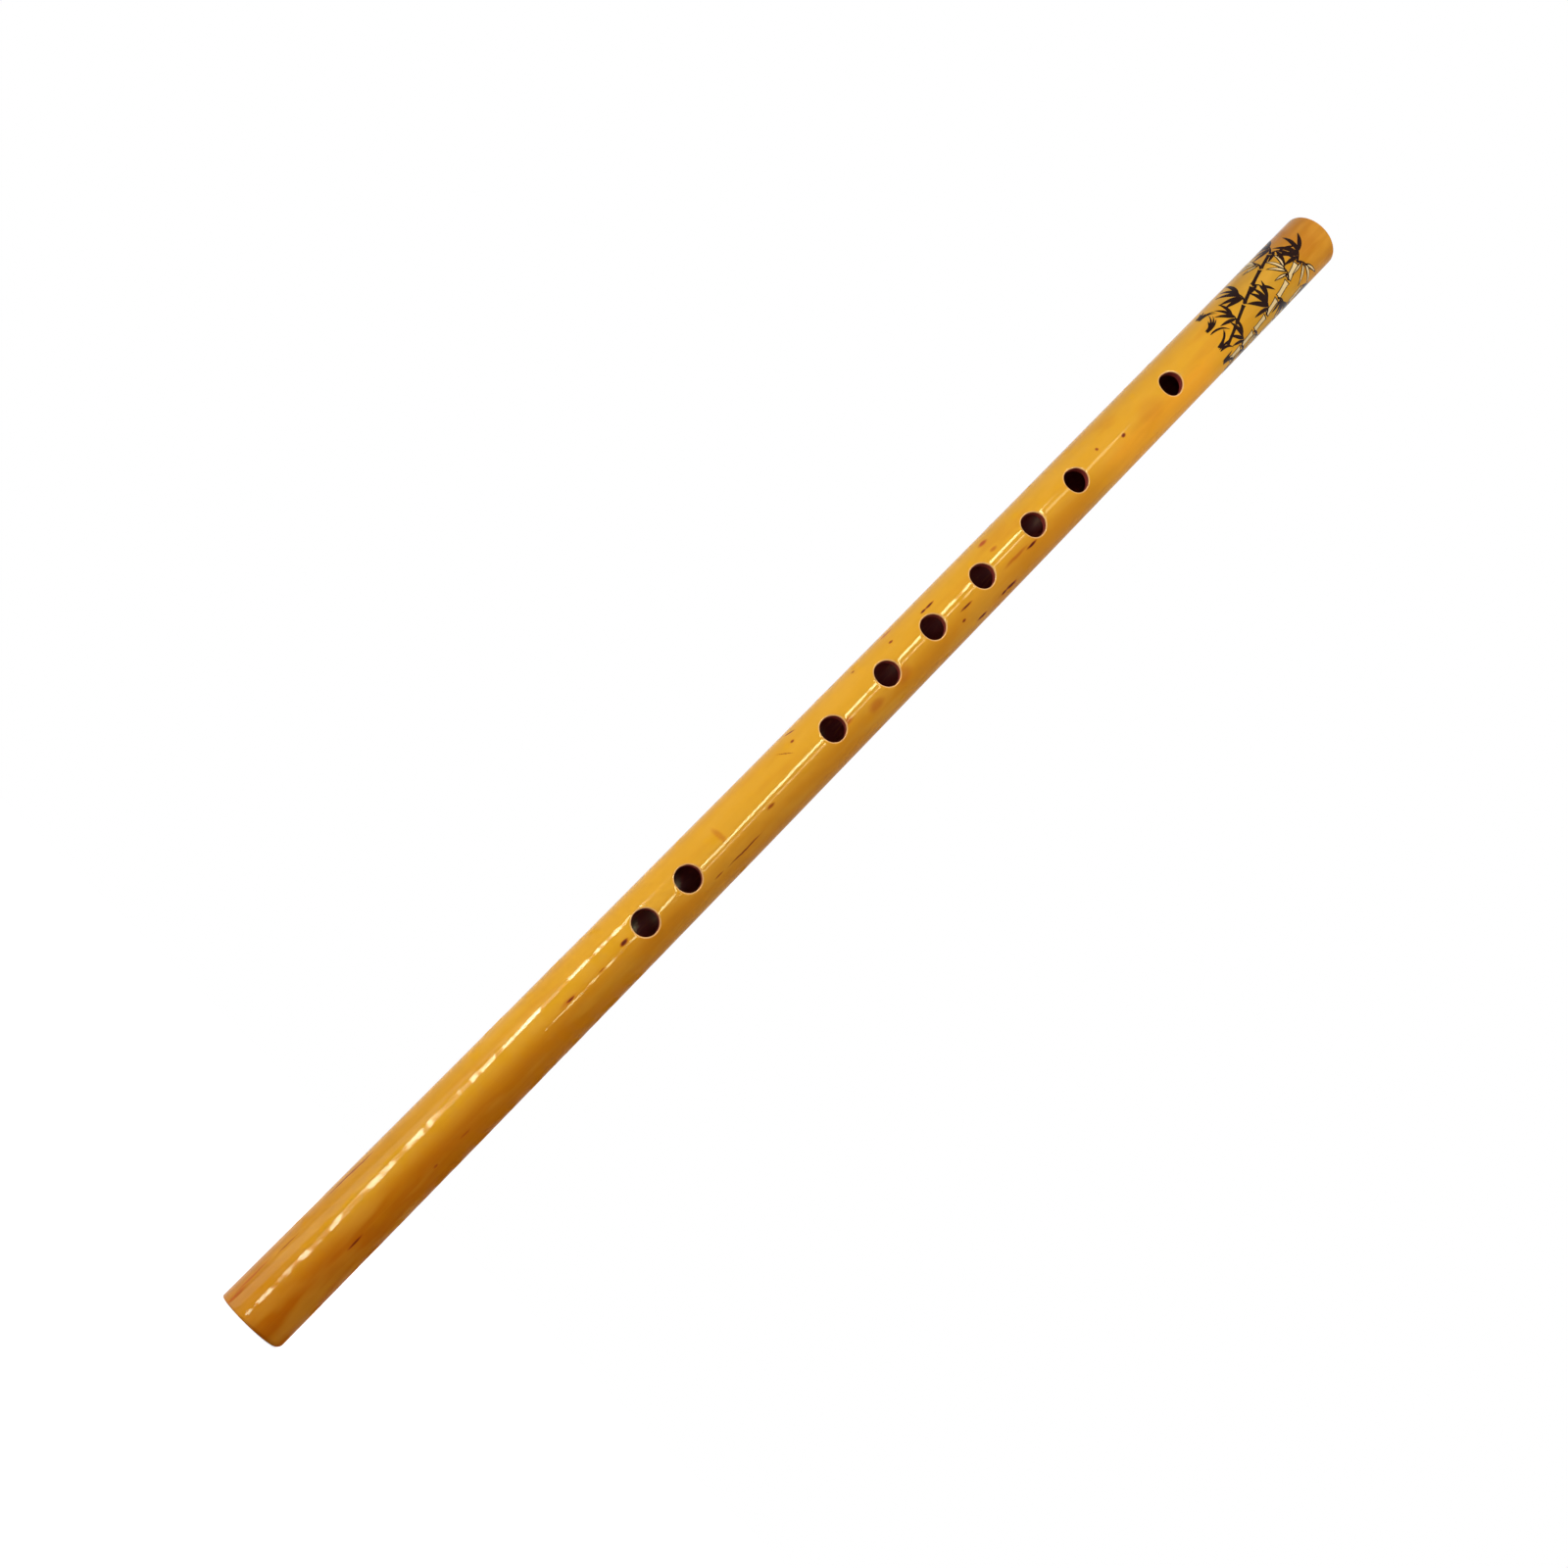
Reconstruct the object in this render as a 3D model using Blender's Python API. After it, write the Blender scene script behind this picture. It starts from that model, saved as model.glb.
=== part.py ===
"""Vertical bamboo flute: a bowed bamboo tube with nine front holes and a glued-in fipple block.

Metres, +Z up. The origin is the centre of the foot's end face, +Z runs along the bore to the
mouth end, and the holes face -Y. The sound window is at the back, towards +Y.
"""

import math

import bmesh
import bpy
from mathutils import Matrix, Vector

# Tube
LENGTH = 0.420                # foot end face to mouth end face
FOOT_RADIUS = 0.00895         # outer radius at the foot
MOUTH_RADIUS = 0.00865        # outer radius at the mouth end
WAIST = 0.00007               # how much slimmer than a straight taper the middle is
WALL = 0.0024                 # bamboo wall, the same all along
BOW = 0.00055                 # sideways bow of the stalk towards +X at its fullest point
BOW_SKEW = 0.8                # below 1 moves the fullest point of the bow towards the foot
FOOT_EDGE = 0.0009            # mean radius of the foot's outer edge
FOOT_EDGE_WEAR = 0.0006       # the edge is rounder by this on the +X side, sharper on the -X side
MOUTH_EDGE = 0.0006           # radius of the mouth end's outer edge
BORE_EASE = 0.0003            # bevel where the bore meets each end face

# Front holes, from the mouth end down
HOLE_RADIUS = 0.00357
HOLE_EASE = 0.00025           # bevel round each hole's outer rim
MEMBRANE_HOLE_DROP = 0.0749   # mouth end to the centre of the membrane hole
TOP_FINGER_HOLE_DROP = 0.0434  # membrane hole to the first finger hole
FINGER_HOLE_STEPS = (0.0191, 0.0218, 0.0208, 0.0187, 0.0216)
VENT_HOLE_DROP = 0.0552       # lowest finger hole to the upper vent hole
VENT_HOLE_STEP = 0.0155       # upper to lower vent hole
MEMBRANE_HOLE_TURN = 1.2      # degrees round the tube towards +X
FINGER_HOLE_TURNS = (0.1, 0.7, -0.6, 0.0, -0.6, -0.7)
VENT_HOLE_TURNS = (1.7, 2.0)

# Sound window and fipple block, at the back of the mouth end
BLOCK_LENGTH = 0.0240         # mouth end face to the window's upper edge
WINDWAY_HEIGHT = 0.0013       # gap between the block's flat and the bore, at its middle
WINDOW_LENGTH = 0.0050        # upper edge of the window to the lip
RAMP_LENGTH = 0.0110          # the lip to where the ramp runs out on the tube's crest
LIP_THICKNESS = 0.0004        # wall left at the middle of the lip
BLOCK_CLEARANCE = 0.0003      # glue gap between block and bore

# How finely the round shapes are cut
TUBE_SIDES = 64
WALL_RINGS = 21
EDGE_STEPS = 3
HOLE_SIDES = 32
BLOCK_SIDES = 40
BLOCK_RINGS = 3
CUT_MARGIN = 0.001            # how far a cutter stands clear of the wall that it cuts
SMOOTH_ANGLE = math.radians(30)

# Finishes: colour as seen in daylight, 0 to 255, then roughness
LACQUERED_BAMBOO = ((224, 160, 50), 0.25)
PALE_WOOD = ((226, 196, 148), 0.55)


def along(z):
    """Height as a share of the tube's length."""
    return z / LENGTH


def axis_shift(z):
    """Sideways place of the bowed tube's axis at a height."""
    return BOW * math.sin(math.pi * along(z) ** BOW_SKEW)


def outer_radius(z):
    u = along(z)
    return FOOT_RADIUS + (MOUTH_RADIUS - FOOT_RADIUS) * u - WAIST * 4 * u * (1 - u)


def bore_radius(z):
    return outer_radius(z) - WALL


def on_tube(radius, angle, z):
    """The point at a radius and angle about the bowed axis; angle 0 is +X, 90 degrees is +Y."""
    return Vector((axis_shift(z) + radius * math.cos(angle), radius * math.sin(angle), z))


def turns(count):
    """Equal angles round a full circle."""
    return [2 * math.pi * i / count for i in range(count)]


def clear_scene():
    for obj in list(bpy.data.objects):
        bpy.data.objects.remove(obj)


def linear(channel):
    """One 0 to 255 display value as linear light."""
    c = channel / 255
    return c / 12.92 if c <= 0.04045 else ((c + 0.055) / 1.055) ** 2.4


def make_material(name, finish):
    colour, roughness = finish
    material = bpy.data.materials.new(name)
    material.use_nodes = True
    shader = material.node_tree.nodes["Principled BSDF"]
    shader.inputs["Base Color"].default_value = (*[linear(c) for c in colour], 1)
    shader.inputs["Roughness"].default_value = roughness
    shader.inputs["Metallic"].default_value = 0
    return material


def add_object(name, mesh_data, material=None):
    """Close a bmesh into a named object with its faces pointing out."""
    bmesh.ops.recalc_face_normals(mesh_data, faces=mesh_data.faces)
    mesh = bpy.data.meshes.new(name)
    mesh_data.to_mesh(mesh)
    mesh_data.free()
    obj = bpy.data.objects.new(name, mesh)
    bpy.context.collection.objects.link(obj)
    if material:
        mesh.materials.append(material)
        mesh.shade_smooth()
        mesh.set_sharp_from_angle(angle=SMOOTH_ANGLE)
    return obj


def loft(rings, ring_closes=False):
    """Join rings of points, each to the next; either the rings form a loop or both ends are capped."""
    mesh_data = bmesh.new()
    loops = [[mesh_data.verts.new(point) for point in ring] for ring in rings]
    following = loops[1:] + loops[:1] if ring_closes else loops[1:]
    for lower, upper in zip(loops, following):
        for i in range(len(lower)):
            j = (i + 1) % len(lower)
            mesh_data.faces.new((lower[i], lower[j], upper[j], upper[i]))
    if not ring_closes:
        mesh_data.faces.new(loops[0])
        mesh_data.faces.new(loops[-1])
    return mesh_data


def cut(obj, cutter):
    """Take a cutter's shape out of an object and keep the cutter as a guide."""
    cutter.hide_render = True
    cutter.display_type = "WIRE"
    modifier = obj.modifiers.new("cut " + cutter.name, "BOOLEAN")
    modifier.operation = "DIFFERENCE"
    modifier.solver = "EXACT"
    modifier.object = cutter


# Tube

def foot_edge(angle):
    """Radius of the foot's outer edge, rounder on the worn +X side."""
    return FOOT_EDGE + FOOT_EDGE_WEAR * math.cos(angle)


def wall_section(angle):
    """Radius and height of each corner of the wall's section at one angle, up outside, down inside."""
    foot = foot_edge(angle)
    quarter = [math.pi / 2 * i / EDGE_STEPS for i in range(EDGE_STEPS + 1)]
    outside = [
        (outer_radius(0) - foot + foot * math.sin(a), foot - foot * math.cos(a)) for a in quarter
    ]
    low, high = foot, LENGTH - MOUTH_EDGE
    for i in range(1, WALL_RINGS):
        z = low + (high - low) * i / WALL_RINGS
        outside.append((outer_radius(z), z))
    outside += [
        (outer_radius(LENGTH) - MOUTH_EDGE + MOUTH_EDGE * math.cos(a), high + MOUTH_EDGE * math.sin(a))
        for a in quarter
    ]
    low, high = BORE_EASE, LENGTH - BORE_EASE
    inside = [(bore_radius(LENGTH) + BORE_EASE, LENGTH)]
    for i in range(WALL_RINGS + 1):
        z = high - (high - low) * i / WALL_RINGS
        inside.append((bore_radius(z), z))
    inside.append((bore_radius(0) + BORE_EASE, 0))
    return outside + inside


def tube_body(material):
    sections = [wall_section(angle) for angle in turns(TUBE_SIDES)]
    rings = [
        [on_tube(radius, angle, z) for angle, (radius, z) in zip(turns(TUBE_SIDES), corners)]
        for corners in zip(*sections)
    ]
    return add_object("bamboo_tube", loft(rings, ring_closes=True), material)


# Front holes

def hole_places():
    """Height and turn of each front hole, from the mouth end down."""
    drops = (MEMBRANE_HOLE_DROP, TOP_FINGER_HOLE_DROP, *FINGER_HOLE_STEPS, VENT_HOLE_DROP, VENT_HOLE_STEP)
    hole_turns = (MEMBRANE_HOLE_TURN, *FINGER_HOLE_TURNS, *VENT_HOLE_TURNS)
    places = []
    z = LENGTH
    for drop, turn in zip(drops, hole_turns):
        z -= drop
        places.append((z, math.radians(turn)))
    return places


def hole_ring(z, turn, radius, reach):
    """A ring of points round a hole; reach gives each point's distance in front of the axis."""
    ring = []
    for angle in turns(HOLE_SIDES):
        across = radius * math.cos(angle)
        height = z + radius * math.sin(angle)
        point = Matrix.Rotation(turn, 3, "Z") @ Vector((across, -reach(across, height), 0))
        ring.append(point + Vector((axis_shift(height), 0, height)))
    return ring


def hole_cutter(name, z, turn):
    """A drill through the front wall whose flared top bevels the hole's rim."""
    flare = HOLE_RADIUS + HOLE_EASE + CUT_MARGIN
    clear_outside = outer_radius(0) + 2 * CUT_MARGIN
    clear_inside = math.sqrt(bore_radius(z) ** 2 - HOLE_RADIUS ** 2) - CUT_MARGIN

    def off_surface(lift):
        return lambda across, height: math.sqrt(outer_radius(height) ** 2 - across ** 2) + lift

    rings = [
        hole_ring(z, turn, flare, lambda across, height: clear_outside),
        hole_ring(z, turn, flare, off_surface(CUT_MARGIN)),
        hole_ring(z, turn, HOLE_RADIUS, off_surface(-HOLE_EASE)),
        hole_ring(z, turn, HOLE_RADIUS, lambda across, height: clear_inside),
    ]
    return add_object(name, loft(rings))


def drill_front_holes(tube):
    for i, (z, turn) in enumerate(hole_places()):
        cut(tube, hole_cutter("front_hole_%d" % (i + 1), z, turn))


# Sound window and windway

def window_top():
    return LENGTH - BLOCK_LENGTH


def windway_floor():
    """How far the block's flat lies from the axis."""
    return bore_radius(window_top()) - WINDWAY_HEIGHT


def windway_half_width():
    return math.sqrt(bore_radius(window_top()) ** 2 - windway_floor() ** 2)


def window_cutter():
    """The window and the ramp down to its lip, as one upright section drawn across the tube."""
    lip_z = window_top() - WINDOW_LENGTH
    lip_y = bore_radius(lip_z) + LIP_THICKNESS
    ramp_end_z = lip_z - RAMP_LENGTH
    slope = (outer_radius(ramp_end_z) - lip_y) / RAMP_LENGTH
    out_y = outer_radius(0) + CUT_MARGIN
    section = (
        (windway_floor(), window_top()),
        (windway_floor(), lip_z),
        (lip_y, lip_z),
        (out_y, lip_z - (out_y - lip_y) / slope),
        (out_y, window_top()),
    )
    middle = axis_shift(lip_z)
    half = windway_half_width()
    sides = [[Vector((middle + x, y, z)) for y, z in section] for x in (-half, half)]
    return add_object("window_and_ramp", loft(sides))


# Fipple block

def block_section(z):
    """A circle that clears the bore, cut off by the windway's floor."""
    radius = bore_radius(z) - BLOCK_CLEARANCE
    start = math.asin(windway_floor() / radius)
    sweep = math.pi + 2 * start
    angles = [math.pi - start + sweep * i / BLOCK_SIDES for i in range(BLOCK_SIDES + 1)]
    return [on_tube(radius, angle, z) for angle in angles]


def fipple_block(material):
    step = BLOCK_LENGTH / BLOCK_RINGS
    rings = [block_section(window_top() + step * i) for i in range(BLOCK_RINGS + 1)]
    return add_object("fipple_block", loft(rings), material)


def main():
    clear_scene()
    tube = tube_body(make_material("lacquered_bamboo", LACQUERED_BAMBOO))
    drill_front_holes(tube)
    cut(tube, window_cutter())
    fipple_block(make_material("pale_block_wood", PALE_WOOD))


main()
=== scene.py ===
"""Looks of a vertical bamboo flute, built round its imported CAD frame.

Metres, +Z up, as in the frame. The origin is the centre of the foot's end face, +Z runs along the
bore to the mouth end, and the holes face -Y. The sound window is at the back, towards +Y.
"""

import logging
import math
import random
from collections.abc import Callable, Iterable
from dataclasses import dataclass, fields, replace
from enum import Enum
from itertools import accumulate, starmap
from typing import Any

import bmesh
import bpy
from mathutils import Euler, Matrix, Vector


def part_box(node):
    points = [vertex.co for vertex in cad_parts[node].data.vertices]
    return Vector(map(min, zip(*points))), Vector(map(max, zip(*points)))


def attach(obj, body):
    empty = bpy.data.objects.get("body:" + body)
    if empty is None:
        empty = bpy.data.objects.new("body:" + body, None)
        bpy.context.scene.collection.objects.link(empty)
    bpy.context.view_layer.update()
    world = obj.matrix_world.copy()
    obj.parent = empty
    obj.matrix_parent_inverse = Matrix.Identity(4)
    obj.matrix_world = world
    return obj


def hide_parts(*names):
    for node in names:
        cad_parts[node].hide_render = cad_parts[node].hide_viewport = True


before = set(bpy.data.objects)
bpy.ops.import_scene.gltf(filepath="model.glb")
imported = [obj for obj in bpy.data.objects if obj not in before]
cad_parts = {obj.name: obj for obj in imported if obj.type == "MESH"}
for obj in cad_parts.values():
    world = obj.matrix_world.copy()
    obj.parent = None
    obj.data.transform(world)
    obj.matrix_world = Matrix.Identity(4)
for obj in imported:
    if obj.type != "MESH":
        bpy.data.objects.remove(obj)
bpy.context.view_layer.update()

log = logging.getLogger("bamboo_flute")

MM = 0.001
IMAGE_SIDE = 1600             # pixels, both ways
SHARP = math.radians(28)      # an edge between faces that turn by more than this stays sharp

Span = tuple[float, float]    # where a change starts, and where it is full
Triple = tuple[float, float, float]
Colour = tuple[float, float, float, float]


class Body(Enum):
    """The moving bodies that a piece can ride on."""

    ROOT = "root"


class Slot(Enum):
    """The record's material slots."""

    BAMBOO = "lacquered_bamboo"
    BLOCK = "block_wood"


class CadNode(Enum):
    """The CAD nodes that a piece can stand for."""

    TUBE = "bamboo_tube"
    BLOCK = "fipple_block"


# Node trees


def operator(operation: str, turned: bool = False) -> Callable[["Socket", "Number"], "Socket"]:
    """An operator of Socket that adds a maths node.

    Args:
        operation: The node's operation.
        turned: Whether the socket stands on the operator's right.

    Returns:
        The operator's method.
    """

    def method(self: "Socket", other: "Number") -> "Socket":
        """Add the node for these two terms."""
        return self.graph.maths(operation, *((other, self) if turned else (self, other)))

    return method


class Socket:
    """One output of a node. Python's operators on it add maths nodes."""

    __add__, __radd__ = operator("ADD"), operator("ADD", turned=True)
    __sub__, __rsub__ = operator("SUBTRACT"), operator("SUBTRACT", turned=True)
    __mul__, __rmul__ = operator("MULTIPLY"), operator("MULTIPLY", turned=True)
    __truediv__, __rtruediv__ = operator("DIVIDE"), operator("DIVIDE", turned=True)
    __pow__, __lt__, __gt__ = operator("POWER"), operator("LESS_THAN"), operator("GREATER_THAN")

    def __init__(self, graph: "Graph", port: bpy.types.NodeSocket) -> None:
        """Keep the tree's builder and the output."""
        self.graph, self.port = graph, port

    @property
    def is_vector(self) -> bool:
        """Whether the output carries a vector or a colour."""
        return self.port.type in ("VECTOR", "RGBA")

    def also(self, key: int | str) -> "Socket":
        """Another output of the same node."""
        return Socket(self.graph, self.graph.find(self.port.node.outputs, key))


Number = float | int | tuple | Socket
Profile = Callable[[Socket, Socket, Socket], tuple[Number, Number]]


def sine(angle: Number) -> Number:
    """Sine of a number or a socket, in radians."""
    return angle.graph.maths("SINE", angle) if isinstance(angle, Socket) else math.sin(angle)


def cosine(angle: Number) -> Number:
    """Cosine of a number or a socket, in radians."""
    return angle.graph.maths("COSINE", angle) if isinstance(angle, Socket) else math.cos(angle)


def root(value: Socket) -> Socket:
    """Square root of a socket."""
    return value.graph.maths("SQRT", value)


class Graph:
    """Builds one node tree, of a material, the world or a Geometry Nodes modifier."""

    def __init__(self, tree: bpy.types.NodeTree) -> None:
        """Keep the tree that nodes are added to."""
        self.tree = tree

    def node(
        self, kind: str, inputs: dict | None = None, output: int | str = 0, **settings: Any
    ) -> Socket:
        """Add a node.

        Args:
            kind: The node's type.
            inputs: A value, a Socket or a list of Sockets for inputs by place, identifier or name.
            output: Which output is wanted.
            **settings: The node's own settings, set first.

        Returns:
            The output.
        """
        node = self.tree.nodes.new(kind)
        for name, value in settings.items():
            setattr(node, name, value)
        for key, value in (inputs or {}).items():
            self.feed(self.find(node.inputs, key), value)
        return Socket(self, self.find(node.outputs, output))

    @staticmethod
    def find(sockets: bpy.types.bpy_prop_collection, key: int | str) -> bpy.types.NodeSocket:
        """A socket by its place, its identifier, or the name of one that is in use.

        Args:
            sockets: A node's inputs or outputs.
            key: The place, identifier or name.

        Returns:
            The socket.
        """
        if isinstance(key, int):
            return sockets[key]
        in_use = [socket for socket in sockets if socket.enabled]
        return next(s for kind in ("identifier", "name") for s in in_use if getattr(s, kind) == key)

    def feed(self, port: bpy.types.NodeSocket, value: Any) -> None:
        """Link a Socket or a list of them into an input, or set the input's own value.

        Args:
            port: The input.
            value: A Socket, a list of Sockets, or a plain value.
        """
        if isinstance(value, (Socket, list)):
            for source in value if isinstance(value, list) else [value]:
                self.tree.links.new(source.port, port)
        elif port.type == "VECTOR" and isinstance(value, (int, float)):
            port.default_value = (value,) * 3
        else:
            port.default_value = value

    def maths(self, operation: str, *terms: Number) -> Socket:
        """Add a Math node, or a Vector Math node where a term is a vector or a colour.

        Args:
            operation: The node's operation.
            *terms: Its inputs in order.

        Returns:
            The first output.
        """
        vector = any(isinstance(t, tuple) or isinstance(t, Socket) and t.is_vector for t in terms)
        kind = "ShaderNodeVectorMath" if vector else "ShaderNodeMath"
        return self.node(kind, dict(enumerate(terms)), operation=operation)

    def length(self, vector: Socket) -> Socket:
        """Length of a vector."""
        return self.node("ShaderNodeVectorMath", {0: vector}, "Value", operation="LENGTH")

    def limit(self, value: Socket) -> Socket:
        """A value kept between 0 and 1."""
        return self.node("ShaderNodeClamp", {0: value})

    def fade(self, value: Socket, start: Number, end: Number) -> Socket:
        """0 at start, 1 at end, with an easy curve between; start may be the greater."""
        inputs = {"Value": value, "From Min": start, "From Max": end}
        return self.node("ShaderNodeMapRange", inputs, interpolation_type="SMOOTHSTEP")

    def between(self, value: Socket, rise: Span, fall: Span) -> Socket:
        """1 from the end of the rise to the end of the fall, 0 outside both, with easy curves."""
        return self.fade(value, *rise) * self.fade(value, *fall)

    def vector(self, x: Number, y: Number, z: Number) -> Socket:
        """A vector of three numbers."""
        return self.node("ShaderNodeCombineXYZ", {0: x, 1: y, 2: z})

    def parts(self, vector: Socket) -> tuple[Socket, Socket, Socket]:
        """The three numbers of a vector."""
        x = self.node("ShaderNodeSeparateXYZ", {0: vector})
        return x, x.also(1), x.also(2)

    def noise(self, place: Socket, detail: float, roughness: float = 0.5) -> Socket:
        """Soft noise from 0 to 1, one swell to each unit of the place, with finer layers added."""
        inputs = {"Vector": place, "Scale": 1.0, "Detail": detail, "Roughness": roughness}
        return self.node("ShaderNodeTexNoise", inputs)

    def mix(self, share: Number, first: Number, second: Number) -> Socket:
        """A mix of two colours, with this share of the second."""
        inputs = {"Factor_Float": share, "A_Color": first, "B_Color": second}
        return self.node("ShaderNodeMix", inputs, "Result_Color", data_type="RGBA")

    def bump(self, height: Socket, depth: float, strength: float) -> Socket:
        """A normal that tilts with a height; depth is how deep a height of 1 is."""
        inputs = {"Strength": strength, "Distance": depth, "Height": height}
        return self.node("ShaderNodeBump", inputs)


class GeometryTree(Graph):
    """A Geometry Nodes tree with one geometry in, one out, and named sizes."""

    def __init__(self, name: str) -> None:
        """Make the tree with its input and output nodes.

        Args:
            name: The tree's name.
        """
        super().__init__(bpy.data.node_groups.new(name, "GeometryNodeTree"))
        for way in ("INPUT", "OUTPUT"):
            self.tree.interface.new_socket("Geometry", in_out=way, socket_type="NodeSocketGeometry")
        self.entry = self.tree.nodes.new("NodeGroupInput")
        self.exit = self.tree.nodes.new("NodeGroupOutput")
        self.values: dict[str, float | int] = {}

    def source(self) -> Socket:
        """The geometry of the object that the modifier is on."""
        return Socket(self, self.entry.outputs[0])

    def sizes(self, form: Any) -> Any:
        """Turn every number of a dataclass into a named input.

        Args:
            form: A dataclass whose fields are all numbers.

        Returns:
            The same dataclass with a Socket in each field.
        """
        inputs = {}
        for field in fields(form):
            value = getattr(form, field.name)
            label = field.name.replace("_", " ").capitalize()
            kind = "NodeSocketInt" if isinstance(value, int) else "NodeSocketFloat"
            item = self.tree.interface.new_socket(label, in_out="INPUT", socket_type=kind)
            self.values[item.identifier] = value
            inputs[field.name] = Socket(self, self.find(self.entry.outputs, item.identifier))
        return replace(form, **inputs)

    def position(self) -> tuple[Socket, Socket, Socket]:
        """X, Y and Z of each point."""
        return self.parts(self.node("GeometryNodeInputPosition"))

    def attribute(self, name: str) -> Socket:
        """A number that each point carries."""
        return self.node("GeometryNodeInputNamedAttribute", {"Name": name}, data_type="FLOAT")

    def place(self, geometry: Socket, x: Number, y: Number, z: Number) -> Socket:
        """Move every point to a worked-out place."""
        inputs = {"Geometry": geometry, "Position": self.vector(x, y, z)}
        return self.node("GeometryNodeSetPosition", inputs)

    def cylinder(self, sides: Socket, rings: Number, ends: str) -> Socket:
        """A cylinder of radius 1 and height 1 about the origin."""
        inputs = {"Vertices": sides, "Side Segments": rings, "Radius": 1.0, "Depth": 1.0}
        return self.node("GeometryNodeMeshCylinder", inputs, fill_type=ends)

    def realized(self, geometry: Socket) -> Socket:
        """Instances made into real geometry."""
        return self.node("GeometryNodeRealizeInstances", {"Geometry": geometry})

    def dress(self, geometry: Socket, finish: "Finish", where: Socket | bool = True) -> Socket:
        """Give faces a finish."""
        inputs = {"Geometry": geometry, "Selection": where, "Material": finish.material()}
        return self.node("GeometryNodeSetMaterial", inputs)

    def apply(self, piece: bpy.types.Object, result: Socket) -> None:
        """Run the tree on an object and keep what it gives as the object's plain mesh.

        Args:
            piece: The object whose mesh the tree starts from.
            result: The geometry that the tree ends with.
        """
        self.feed(self.exit.inputs[0], result)
        modifier = piece.modifiers.new(self.tree.name, "NODES")
        modifier.node_group = self.tree
        for identifier, value in self.values.items():
            modifier[identifier] = value
        keep_result(piece)


# Objects


def keep_result(piece: bpy.types.Object) -> None:
    """Turn an object's modifiers into its plain mesh and remove them.

    Args:
        piece: The object.
    """
    depsgraph = bpy.context.evaluated_depsgraph_get()
    mesh = bpy.data.meshes.new_from_object(piece.evaluated_get(depsgraph), depsgraph=depsgraph)
    mesh.name = piece.name
    piece.modifiers.clear()
    piece.data = mesh


def add_object(name: str, data: bpy.types.ID) -> bpy.types.Object:
    """Put a mesh, lamp or camera into the scene as an object at the origin.

    Args:
        name: The object's name.
        data: What it shows.

    Returns:
        The object.
    """
    piece = bpy.data.objects.new(name, data)
    bpy.context.scene.collection.objects.link(piece)
    return piece


def add_points(
    name: str, points: list[Triple], edges: list[tuple[int, int]], marks: dict[str, list[float]]
) -> bpy.types.Object:
    """Add an object of bare points and edges for a tree to start from.

    Args:
        name: The object's name.
        points: The points.
        edges: Pairs of points that are joined.
        marks: Numbers that each point carries, by the attribute's name.

    Returns:
        The object.
    """
    mesh = bpy.data.meshes.new(name)
    mesh.from_pydata(points, edges, [])
    for attribute, values in marks.items():
        mesh.attributes.new(attribute, "FLOAT", "POINT").data.foreach_set("value", values)
    return add_object(name, mesh)


def add_loft(name: str, rings: Iterable[Iterable[Triple]], finish: "Finish") -> bpy.types.Object:
    """Add a solid that runs through rings of points and is capped at both ends.

    Args:
        name: The object's name.
        rings: The rings, each with as many points as the others.
        finish: Its finish.

    Returns:
        The object.
    """
    shape = bmesh.new()
    loops = [[shape.verts.new(point) for point in ring] for ring in rings]
    for lower, upper in zip(loops, loops[1:]):
        for i in range(len(lower)):
            j = (i + 1) % len(lower)
            shape.faces.new((lower[i], lower[j], upper[j], upper[i]))
    for end in (loops[0], loops[-1]):
        shape.faces.new(end)
    bmesh.ops.recalc_face_normals(shape, faces=shape.faces)
    mesh = bpy.data.meshes.new(name)
    shape.to_mesh(mesh)
    shape.free()
    mesh.materials.append(finish.material())
    return add_object(name, mesh)


def register(
    piece: bpy.types.Object, slot: Slot, *stands_for: CadNode, body: Body = Body.ROOT
) -> None:
    """Tell the frame what a finished piece rides on and stands for.

    Args:
        piece: The finished piece.
        slot: The record's slot that its finish comes from; not used.
        *stands_for: The CAD nodes that it takes the place of.
        body: The body that carries it.
    """
    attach(piece, body.value)
    if stands_for:
        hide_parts(*[node.value for node in stands_for])
    log.info("%s: %d faces", piece.name, len(piece.data.polygons))


# Shape of the stalk


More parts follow.
